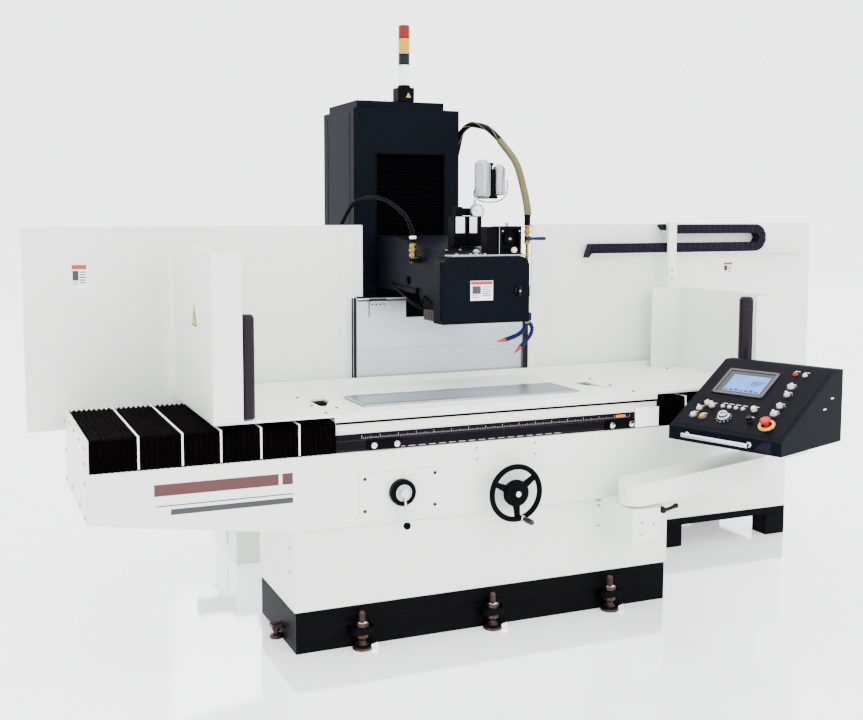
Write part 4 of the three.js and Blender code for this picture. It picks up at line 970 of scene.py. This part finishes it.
oil = Shape()
for x, r, z0, z1 in ((238, 38, 1856, 2026), (325, 31, 1866, 2006)):
    body_profile = [(0, z0), (r - 8, z0), (r - 2, z0 + 6), (r - 2, z0 + 14), (r, z0 + 16), (r, z1 - 22),
        (r - 2, z1 - 20), (r - 2, z1 - 12), (r - 6, z1 - 4), (r - 18, z1 + 4), (r - 22, z1 + 8),
        (0, z1 + 9)]
    oil.lathe(body_profile, (x, 600 + Y, 0), "z", 48)
    for dx, dy in around(4, r - 1, first=45):
        oil.rod((x + dx, 600 + Y + dy, z0 + 8), "z", z1 - z0 - 22, 2.4, 10, 0.5)
oil.lathe([(0, 0), (7, 0), (7, 30), (9, 34), (9, 46), (6, 50), (6, 104), (0, 104)], (204, 613 + Y, 1742),
    "z", 24)
oil.paint(1)
oil.box(272, 296, 576 + Y, 628 + Y, 1850, 1990, bevel=3)
oil.box(230, 335, 628 + Y, 642 + Y, 1850, 1960, bevel=3)
oil.box(76, 144, 572 + Y, 640 + Y, 1624, 1768, bevel=3)
oil.box(150, 222, 572 + Y, 640 + Y, 1624, 1768, bevel=3)
oil.box(96, 200, 606 + Y, 626 + Y, 1770, 1806, bevel=3)
oil.box(92, 130, 590 + Y, 630 + Y, 1760, 1812, bevel=4)
oil.paint(2)
oil.box(86, 132, 571 + Y, 573 + Y, 1688, 1764, bevel=0.5)
oil.box(158, 196, 571 + Y, 573 + Y, 1688, 1764, bevel=0.5)
oil.paint(0)
oil.lathe([(0, 0), (34, 0), (35, 2), (35, 22), (33, 25), (30, 25), (30, 21), (0, 21)], (204, 600 + Y, 1790),
    (0, -1, 0), 48)
oil.paint(2)
oil.lathe([(0, 21), (29.6, 21), (29.6, 22.6), (0, 22.8)], (204, 600 + Y, 1790), (0, -1, 0), 40)
oil.paint(1)
for dx, dz in around(11, 24, first=225, step=-27):
    oil.block((204 + dx, 577 + Y, 1790 + dz), (1, 0.6, 1.8))
needle, _ = curve([(204, 576.2 + Y, 1790), (192, 576.2 + Y, 1796), (184, 576.2 + Y, 1801)], 8)
oil.tube(needle, 1.4, 6)
wire, _ = curve([(196, 590 + Y, 1900), (186, 588 + Y, 1868), (204, 584 + Y, 1846), (250, 580 + Y, 1834),
    (310, 580 + Y, 1838), (350, 584 + Y, 1860), (366, 590 + Y, 1900), (366, 592 + Y, 1940)], 90)
oil.tube(wire, 2.6, 8)
oil.lathe([(0, 0), (8, 0), (8, 16), (14, 20), (14, 30), (0, 31)], (282, 602 + Y, 1990), "z", 24)
oil.make("oil_bowls", [SATIN, BLACK, SILK_WHITE], "head", replaces="oil_reservoir")

cv = B["coolant_valve"]
valve = Shape()
vx, vy = 341, 345 + Y
valve.lathe([(0, 1650), (12, 1650), (13, 1654), (13, 1676), (10, 1680), (10, 1688), (0, 1688)], (vx, vy, 0),
    "z", 28)
valve.nut((vx, vy, 1688), "z", 15, 12)
valve.lathe([(0, 1700), (11, 1700), (12, 1704), (10, 1710), (13, 1714), (13, 1724), (0, 1724)], (vx, vy, 0),
    "z", 28)
valve.nut((vx, vy, 1640), "z", 14, 12)
valve.lathe([(0, 0), (9, 0), (10, 2), (10, 12), (0, 13)], (vx, vy - 3, 1664), (0, -1, 0), 24)
valve.lathe([(0, 1318), (7.6, 1318), (7.6, 1642), (0, 1642)], (vx, vy, 0), "z", 24)
for z in (1360, 1470, 1580):
    valve.lathe([(0, 0), (9.4, 0), (10, 2), (10, 8), (9.4, 10), (0, 10)], (vx, vy, z), "z", 24)
valve.box(cv.x0, cv.x1, cv.y0, cv.y1, cv.z0, cv.z0 + 34, bevel=4)
valve.make("coolant_valve_brass", BRASS, "head", replaces="coolant_valve")
clips = Shape()
for z in (1345, 1520):
    clips.box(318, 336, vy - 12, vy + 12, z, z + 14, bevel=2)
    clips.screw((326, vy - 12, z + 7), (0, -1, 0), 4, 3)
clips.make("coolant_pipe_clips", BLACK, "head")
lv = B["valve_lever"]
handle = Shape()
handle.lathe([(0, 0), (10, 0), (11, 1.5), (11, 7), (0, 8)], (341, lv.y1, 1664), (0, -1, 0), 28)
handle.prism([(341, 1658), (368, 1657), (392, 1656), (422, 1656), (429, 1660), (429, 1668), (422, 1672),
    (392, 1672), (368, 1671), (341, 1670)], "y", lv.y0 + 1, lv.y1 - 1, bevel=2)
handle.make("valve_lever_grip", BLUE, "valve_lever", replaces="valve_lever")

NOZZLES = ([(332, 346 + Y, 1280), (332, 342 + Y, 1256), (300, 336 + Y, 1226), (236, 328 + Y, 1206),
    (178, 322 + Y, 1197)], [(348, 350 + Y, 1280), (372, 350 + Y, 1258), (366, 346 + Y, 1222),
    (324, 342 + Y, 1178), (277, 340 + Y, 1136)])
jets = Shape()
for path in NOZZLES:
    points, length = curve(path, 80)
    jets.paint(0)
    jets.tube(points[:64], 7, 14)
    for k in range(0, 62, 5):
        direction = (points[k + 2] - points[k]).normalized()
        jets.lathe([(0, -4.8), (7.4, -4.8), (10.4, -2.4), (11, 0), (10.4, 2.4), (8.2, 4.8), (0, 4.8)],
            points[k + 1], direction, 18)
    jets.paint(1)
    direction = (points[80] - points[64]).normalized()
    reach = (points[80] - points[64]).length
    jets.lathe([(0, -4), (9, -4), (9.6, 0), (9, 5), (6, reach * 0.5), (3.4, reach - 1), (2.4, reach),
        (0, reach - 3)], points[64], direction, 20)
jets.paint(2)
jets.box(328, 354, 332 + Y, 360 + Y, 1272, 1290, bevel=3)
jets.paint(0)
jets.box(322, 360, 326 + Y, 366 + Y, 1286, 1324, bevel=5)
jets.make("jointed_nozzles", [BLUE, ORANGE, BRASS], "head", replaces="coolant_nozzles")

sx, sz = 101, 1424
wh = B["grinding_wheel"]
wheel = Shape()
wheel.lathe([(40.2, wh.y0), (138, wh.y0), (143, wh.y0 + 2), (145, wh.y0 + 5), (145, wh.y1 - 5),
    (143, wh.y1 - 2), (138, wh.y1), (40.2, wh.y1)], (sx, 0, sz), "y", 96)
wheel.make("abrasive_wheel", ABRASIVE, "spindle", replaces="grinding_wheel")
blotter = Shape()
blotter.lathe([(61, wh.y0 - 1.2), (86, wh.y0 - 1.2), (86, wh.y0 + 0.4), (61, wh.y0 + 0.4)], (sx, 0, sz),
    "y", 60)
blotter.make("wheel_blotter", MARK_RED, "spindle")
refine("spindle_shaft", STEEL, bevel=1.5)

# ------------------------------------------------------------------ speed valve, handwheel
sv = B["speed_control_valve"]
cover = Shape()
cover.box(sv.x0, sv.x1, sv.y1 - 5, sv.y1, sv.z0, sv.z1, bevel=1.6)
cover.paint(3)
for x in (-600, -288):
    for z in (570, 704):
        cover.screw((x, sv.y1 - 5, z), (0, -1, 0), 7, 4)
cover.paint(1)
o = (-439, sv.y1 - 4, 638)
cover.lathe([(0, 0), (55, 0), (55.5, 4), (55.5, 26), (52, 31), (37, 32), (35, 29), (0, 29)], o, (0, -1, 0),
    72)
cover.paint(2)
cover.lathe([(0, 28), (34.6, 28), (34.6, 30), (32, 30.6), (0, 30.8)], o, (0, -1, 0), 64)
cover.paint(1)
for r in (27, 30.5):
    for dx, dz in around(24, r):
        cover.rod((o[0] + dx, o[1] - 30.2, o[2] + dz), (0, -1, 0), 1, 1.3, 8, 0.2)
cover.box(o[0] - 14, o[0] + 18, o[1] - 31.6, o[1] - 30, o[2] - 16, o[2] - 11, bevel=0.4)
cover.make("speed_valve_dial", [WHITE, BLACK, CURTAIN, RUSTY], "base", replaces="speed_control_valve")
sl = B["speed_lever"]
lever = Shape()
lever.lathe([(0, 0), (19, 0), (20, 2), (20, 12), (16, 16), (0, 17)], (o[0], sl.y0 + 26, o[2]), (0, -1, 0), 40)
points, _ = curve([(o[0], sl.y0 + 15, o[2] - 14), (o[0] + 2, sl.y0 + 14, o[2] - 60),
    (o[0] + 7, sl.y0 + 14, o[2] - 122)], 30)
lever.tube(points, 4.6, 14)
lever.paint(1)
lever.lathe([(0, -16), (6, -15), (11.4, -11), (15.4, -4.6), (16, 0), (15.4, 4.6), (11.4, 11), (6, 15),
    (0, 16)], (o[0] + 7, sl.y0 + 14, o[2] - 134), "z", 32)
lever.make("speed_lever_handle", [CHROME, BLACK], "speed_lever", replaces="speed_lever")

hx, hy, hz, R = 58, -90 + Y, 600, 113
hw = Shape()
hw.lathe([(R + dx, dy) for dx, dy in around(18, 12)], (hx, hy, hz), "y", 84)
hw.lathe([(0, -18), (40, -18), (52, -15), (57, -9), (58, -2), (57, 8), (50, 14), (26, 16), (22, 20),
    (20, 72), (0, 72.6)], (hx, hy, hz), "y", 64)
for angle in (35, 155, 275):
    m = (Matrix.Translation((hx, hy, hz)) @ Matrix.Rotation(-math.radians(angle), 4, "Y"))
    spoke = Shape(m)
    spoke.prism([(50, -16), (80, -13), (104, -12), (104, 12), (80, 13), (50, 16)], "y", -3, 12, bevel=3.4,
        segments=3)
    mesh = bpy.data.meshes.new("spoke")
    spoke.bm.to_mesh(mesh)
    spoke.bm.free()
    hw.bm.from_mesh(mesh)
    bpy.data.meshes.remove(mesh)
hw.paint(1)
hw.lathe([(0, 17), (13, 17), (14, 20), (12, 25), (6, 27), (0, 27)], (hx, hy, hz), (0, -1, 0), 36)
hw.paint(2)
hw.lathe([(0, 20), (34, 20), (36, 24), (36, 50), (34, 54), (0, 54)], (hx, hy, hz), "y", 56)
hw.paint(3)
for k, (dx, dz) in enumerate(around(50, 36)):
    tall = 9 if k % 5 == 0 else 5
    hw.block((hx + dx, hy + 26 + tall / 2, hz + dz), (0.4, tall / 2, 0.4))
crank = math.radians(-75)
kx, kz = hx + R * math.cos(crank), hz + R * math.sin(crank)
hw.paint(1)
hw.lathe([(0, -8), (12, -8), (12, 18), (9, 22), (0, 22)], (kx, hy, kz), (0, -1, 0), 28)
hw.make("handwheel_rim", [BLACK, CHROME, SATIN, INK], "handwheel", replaces="handwheel")
gb = B["handwheel_grip"]
grip = Shape()
grip.lathe([(0, 0), (9, 0), (11, 3), (10, 8), (12.6, 24), (13, 36), (11.6, 54), (12, 62), (9, 68), (0, 70)],
    (kx, gb.y1, kz), (0, -1, 0), 36)
grip.make("handwheel_grip_turned", RUSTY, "grip", replaces="handwheel_grip")

# ------------------------------------------------------------------ console arm
refine("arm_bracket", WHITE, bevel=4, segments=3)
refine("console_arm", WHITE, bevel=5, segments=3)
ab = B["arm_bracket"]
arm_bits = Shape()
for z in (391, 484):
    arm_bits.screw((ab.x0 + 10, ab.y1 - 16.7, z), (0, -1, 0), 6, 4)
for x, z in ((572, 462), (632, 452), (572, 410)):
    arm_bits.screw((x, ab.y0, z), (0, -1, 0), 5, 3)
arm_bits.make("arm_bracket_screws", SATIN, "base")
ac = B["arm_clamp_lever"]
cl = Shape()
cl.lathe([(0, 0), (14, 0), (14.4, 3), (14.4, 20), (11, 26), (0, 27)], (687, ac.y1, 503), (0, -1, 0), 32)
points, _ = curve([(690, ac.y0 + 10, 503), (718, ac.y0 + 8, 508), (742, ac.y0 + 8, 515)], 24)
cl.tube(points, 8, 16)
cl.lathe([(0, -6), (8, -6), (11, 2), (11, 12), (7, 18), (0, 19)], points[-1],
    (points[-1] - points[-2]).normalized(), 24)
cl.make("arm_clamp_handle", PHENOLIC, "clamp_lever", replaces="arm_clamp_lever")

# ------------------------------------------------------------------ console
yaw = math.radians(-70.4)
UX = Vector((math.cos(yaw), math.sin(yaw), 0))
UY = Vector((-math.sin(yaw), math.cos(yaw), 0))
UZ = Vector((0, 0, 1))
case = B["console_case"]
CORNER = Vector((case.x0, case.y1 - 492 * UY.y, case.z0))


BOX_FRAME = local_frame(CORNER, UX, UY, UZ)
tilt = math.atan2(307 - 57, 433)
US = UY * math.cos(tilt) + UZ * math.sin(tilt)
UN = UX.cross(US)
PANEL = local_frame(CORNER + UZ * 57, UX, US, UN)
refine("console_case", NAVY, bevel=4, segments=3)
STOP_AT, RATE_AT, PULSE_AT = (412, 88), (326, 105), (210, 100)  # across and up the sloping panel
SELECTORS = ((391, 349), (400, 294), (407, 214), (406, 164))
SMALL_KEYS = ((169, 168), (200, 168), (231, 168), (263, 168))
sheet = Shape(PANEL)
sheet.box(16, 504, 22, 486, -0.5, 1.2, bevel=0.6)
sheet.paint(1)
for x0, x1, y0, y1 in ((66, 306, 418, 430), (66, 306, 252, 264), (66, 78, 252, 430), (294, 306, 252, 430)):
    sheet.box(x0, x1, y0, y1, 0.5, 7, bevel=2)
sheet.paint(2).box(76, 296, 262, 420, 0.5, 3.6, bevel=1)
sheet.paint(3).box(106, 282, 275, 392, 3.4, 4.4, bevel=0.4)
sheet.paint(4)
for k in range(3):
    sheet.box(212, 272 - 12 * k, 350 - k * 12, 355 - k * 12, 4.3, 4.8, bevel=0)
for k in range(7):
    sheet.box(110 + k * 24, 127 + k * 24, 279, 288 + 3 * (k % 3), 4.3, 4.8, bevel=0)
sheet.make("panel_and_screen", [PANEL_INK, BEZEL, SCREEN_DARK, SCREEN, INK], "console")
marks = Shape(PANEL)
for x, s in ((70, 88), (115, 86), (75, 132), (94, 171), (121, 160), (169, 168), (200, 168), (231, 168),
        (263, 168), (313, 172), (326, 105), (391, 349), (400, 294), (407, 214), (406, 164), (367, 439),
        (411, 437)):
    marks.box(x - 11, x + 11, s + 22, s + 24, 1.0, 1.6, bevel=0)
marks.ribs(PULSE_AT, 12, 31, 1.2, 1.0, 1.6)
for dx, ds in around(5, 21, first=30, step=30):
    for x, s in SELECTORS:
        marks.block((x + dx, s + ds, 1.3), (1, 1, 0.3))
marks.make("panel_marks", SILK_WHITE, "console")


def collar(shape, x, s, r, h=5):
    shape.lathe([(0, 0.8), (r + 4, 0.8), (r + 4.6, 2), (r + 4, h - 1), (r + 1, h), (0, h)], (x, s, 0), "z",
        36)


def knob(shape, x, s, r, h, angle=0.0):
    """A selector with a raised finger bar."""
    shape.lathe([(0, 1), (r, 1), (r, h - 2), (r - 1.5, h), (0, h)], (x, s, 0), "z", 32)
    c, n = math.cos(angle), math.sin(angle)
    outline = [(-4, -r), (4, -r), (5, r * 0.7), (0, r), (-5, r * 0.7)]
    turned = [(x + a * c - b * n, s + a * n + b * c) for a, b in outline]
    shape.prism(turned, "z", h - 1, h + 9, bevel=1.6)


extra = Shape(PANEL)
for x, s in ((400, 294), (407, 214), (75, 132), (94, 171), (121, 160)):
    collar(extra, x, s, 11)
for x, s in (*SMALL_KEYS, (367, 439), (411, 437), (313, 172)):
    collar(extra, x, s, 7, 4)
for x, s in ((70, 88), (115, 86), (391, 349), (406, 164)):
    extra.lathe([(13, 0.6), (18, 0.6), (18.6, 2), (17, 4), (13, 4)], (x, s, 0), "z", 36)
extra.paint(1)
for x, s, a in ((400, 294, 0.6), (407, 214, -0.6), (75, 132, 0.5), (94, 171, -0.4), (121, 160, 0.3)):
    knob(extra, x, s, 11, 12, a)
for x, s in SMALL_KEYS:
    extra.lathe([(0, 2), (7.4, 2), (7.4, 8), (6, 10), (0, 10.4)], (x, s, 0), "z", 26)
extra.lathe([(0, 2), (12, 2), (12, 14), (10, 18), (0, 19)], (313, 172, 0), "z", 32)
extra.paint(2)
extra.lathe([(0, 3), (10, 3), (9, 9), (5, 13), (0, 14)], (367, 439, 0), "z", 30)
extra.paint(1)
extra.lathe([(0, 3), (10, 3), (9, 9), (5, 13), (0, 14)], (411, 437, 0), "z", 30)
extra.paint(3)
extra.lathe([(22.5, 0.6), (34, 0.6), (35, 3), (33, 8), (24, 9.5), (22.5, 8)], (*STOP_AT, 0), "z", 48)
extra.make("fixed_panel_fittings", [BEZEL, IVORY, RED, YELLOW], "console")
stop = Shape(PANEL)
stop.lathe([(0, -3.8), (11, -3.8), (11, 21), (18, 22), (21.5, 26), (21, 33), (15, 37.5), (0, 38)],
    (*STOP_AT, 0), "z", 48)
stop.make("e_stop_mushroom", RED, "e_stop", replaces="e_stop_button")
for node, body, (x, s), colour in (("feed_start_button", "feed_start", (70, 88), IVORY),
        ("feed_stop_button", "feed_stop", (115, 86), AMBER)):
    button = Shape(PANEL)
    button.lathe([(0, -3.8), (11, -3.8), (11, 10), (9.6, 12), (7, 12.6), (0, 11.6)], (x, s, 0), "z", 36)
    button.make(node + "_cap", colour, body, replaces=node)
for node, body, (x, s), a in (("spindle_selector", "spindle_selector", (391, 349), -0.5),
        ("mode_selector", "mode_selector", (406, 164), 0.5)):
    turn_knob = Shape(PANEL)
    knob(turn_knob, x, s, 13.5, 11, a)
    turn_knob.make(node + "_knob", IVORY, body, replaces=node)
rate = Shape(PANEL)
rate.lathe([(0, 0.6), (16, 0.6), (16, 4), (12.4, 6), (11.6, 18), (10, 20.4), (0, 20.6)], (*RATE_AT, 0), "z",
    40)
rate.ribs(RATE_AT, 18, 12, 0.8, 6, 18, bevel=0.3)
rate.make("feed_rate_knob_ribbed", PHENOLIC, "feed_rate", replaces="feed_rate_knob")
pulse = Shape(PANEL)
pulse.lathe([(0, 0.6), (26, 0.6), (26.6, 3), (26, 10), (24, 12), (20, 12.6), (19, 24), (17, 26.4),
    (0, 26.6)], (*PULSE_AT, 0), "z", 56)
pulse.ribs(PULSE_AT, 30, 19.2, 0.7, 14, 24, bevel=0.2)
pulse.lathe([(0, 24), (4, 24), (5, 30), (5, 36), (3, 38), (0, 38.4)], (222, 100, 0), "z", 24)
pulse.paint(1)
pulse.lathe([(0, 26.2), (8, 26.2), (8, 27), (0, 27.2)], (206, 100, 0), "z", 28)
pulse.make("pulse_dial_knurled", [CHROME, BLUE_STEEL], "pulse_dial", replaces="pulse_dial")

front = Shape(BOX_FRAME)
front.prism([(406, 16), (476, 4), (476, 52), (440, 50)], "y", -1.6, 1, bevel=0.8)
front.paint(1)
for y, z in ((330, 150), (392, 190)):
    front.box(519.4, 522, y, y + 22, z, z + 5, bevel=0.8)
front.make("console_small_fittings", [CHAIN, SILK_WHITE], "console")
bar = Shape(BOX_FRAME)
bar.lathe([(0, 0), (7, 0), (9, 2), (9, 306), (7, 308), (0, 308)], (80, -26, 30), "x", 28)
for x in (90, 378):
    bar.lathe([(0, 0), (7, 0), (7, 24), (11, 25.6), (0, 25.7)], (x, -26, 30), "y", 24)
bar.make("grab_bar_round", CHROME, "console", replaces="grab_bar")

# ------------------------------------------------------------------ cabinet and hydraulic unit
cab = B["electrical_cabinet"]
refine("electrical_cabinet", WHITE_SHEET, bevel=4)
stand = Shape()
stand.box(cab.x0 - 1, cab.x1 + 1, cab.y0 - 1, cab.y1 - 26, 117, 156, bevel=0.6)
for x0, x1 in ((cab.x0, cab.x0 + 136), (cab.x1 - 125, cab.x1)):
    for y0 in (cab.y0, 1192 + Y):
        stand.box(x0 - 1, x1 + 1, y0 - 1, y0 + 109, 0.5, 122, bevel=0.6)
stand.make("cabinet_stand", BLACK, "base")
refine("cabinet_door", WHITE_SHEET, bevel=3)
vents = Shape()
for i in range(10):
    z = 1380 + i * 24
    vents.prism([(cab.y0 + 240, z), (cab.y0 + 240, z + 12), (cab.y0 + 560, z + 12), (cab.y0 + 560, z)], "x",
        cab.x1 - 1, cab.x1 + 5, bevel=2)
vents.paint(1)
vents.box(cab.x1 - 1, cab.x1 + 3, cab.y0 + 260, cab.y0 + 540, 620, 900, bevel=2)
vents.box(cab.x1 + 2, cab.x1 + 9, cab.y0 + 360, cab.y0 + 440, 780, 860, bevel=3)
vents.make("cabinet_vents", [WHITE_SHEET, BLACK], "base")
cd = B["cabinet_door"]
door = Shape()
door.box(cd.x0 + 46, cd.x0 + 72, cd.y1 - 29, cd.y1 - 14, 880, 1040, bevel=3)
door.lathe([(0, 0), (11, 0), (12, 3), (12, 10), (0, 11)], (cd.x0 + 59, cd.y1 - 29, 1010), (0, 1, 0), 32)
door.paint(1)
door.box(cd.x0 + 300, cd.x0 + 420, cd.y1 - 29, cd.y1 - 27, 1400, 1500, bevel=0.6)
door.make("cabinet_door_lock", [PHENOLIC, LABEL], "cabinet_door")
triangle_label("cabinet_notice", "cabinet_door", (cd.cx, cd.y1 - 28, 1300), (-1, 0, 0), (0, 1, 0), 90)

hu = B["hydraulic_unit"]
refine("hydraulic_unit", [WHITE, BLUE_STEEL], bevel=5, segments=3, rule=lambda c,
    n: 1 if c.x < hu.x0 + 168 or c.z > 300 else 0)
tank = Shape()
tank.lathe([(0, 0), (50, 0), (52, 4), (52, 12), (47, 16), (20, 22), (0, 22)], (hu.x0 + 6, 1300 + Y, 240),
    (-1, 0, 0), 40)
for dy, dz in around(14, 46):
    tank.block((hu.x0 + 85, 1300 + Y + dy, 240 + dz), (65, 2, 2), bevel=0.8)
tank.lathe([(0, 0), (24, 0), (26, 4), (26, 20), (18, 26), (0, 27)], (-700, 1320 + Y, 296), "z", 32)
tank.paint(1)
tank.box(-826 - 1, -820, 1420 + Y, 1450 + Y, 60, 240, bevel=2)
tank.paint(2)
for x in (-800, -330):
    for y in (1250, 1700):
        tank.screw((x, y + Y, 296), (0, 0, 1), 8, 6)
pipe, _ = curve([(-560, 1480 + Y, 466), (-520, 1470 + Y, 486), (-440, 1480 + Y, 440),
    (-420, 1480 + Y, 384)], 30)
tank.tube(pipe, 9, 14)
pipe, _ = curve([(-366, 1440 + Y, 350), (-330, 1440 + Y, 352), (-300, 1440 + Y, 356),
    (-284, 1440 + Y, 358)], 20)
tank.tube(pipe, 10, 14)
tank.make("tank_fittings", [BLUE_STEEL, SCREEN_DARK, SATIN], "base")

# ------------------------------------------------------------------ studio
SKY_STRENGTH = 3.3
FLOOR = surface("studio_floor", srgb(250, 250, 252), 0.08, metal=0.35, vary=0.004, grain=40, bump=0.0,
    patch=0.6, spread=0.02, glow=0.6)
ground = bmesh.new()
profile = [(-30, 0)] + [(14, 0)] + [(14 + 6 * math.sin(math.radians(a)),
    6 - 6 * math.cos(math.radians(a))) for a in range(5, 91, 5)] + [(20, 24)]
rows = [[ground.verts.new((x, y, z - 0.0005)) for x in (-45, 45)] for y, z in profile]
for a, c in zip(rows, rows[1:]):
    ground.faces.new((a[0], a[1], c[1], c[0]))
mesh = bpy.data.meshes.new("studio_floor")
ground.to_mesh(mesh)
ground.free()
mesh.materials.append(FLOOR)
mesh.shade_smooth()
floor = bpy.data.objects.new("studio_floor", mesh)
bpy.context.scene.collection.objects.link(floor)

world = bpy.data.worlds.new("studio")
bpy.context.scene.world = world
world.use_nodes = True
world.node_tree.nodes["Background"].inputs["Color"].default_value = (0.97, 0.985, 1, 1)
world.node_tree.nodes["Background"].inputs["Strength"].default_value = SKY_STRENGTH


def softbox(name, place, target, size, watts):
    data = bpy.data.lights.new(name, "AREA")
    data.shape, data.size, data.size_y, data.energy = "RECTANGLE", size[0], size[1], watts
    lamp = bpy.data.objects.new(name, data)
    lamp.location = place
    lamp.rotation_euler = (Vector(target) - Vector(place)).to_track_quat("-Z", "Y").to_euler()
    bpy.context.scene.collection.objects.link(lamp)


for lamp_setting in (("front_soft", (1.5, -7.5, 4.2), (0.2, 0, 1.0), (6, 4), 330),
                     ("left_soft", (-7.5, -2.5, 3.6), (0, 0.5, 1.0), (4, 4), 60),
                     ("top_soft", (0, 0.5, 7.5), (0, 0.5, 0), (8, 6), 300),
                     ("rear_soft", (2.5, 7.5, 5.0), (0.3, 1, 1.0), (5, 4), 120)):
    softbox(*lamp_setting)
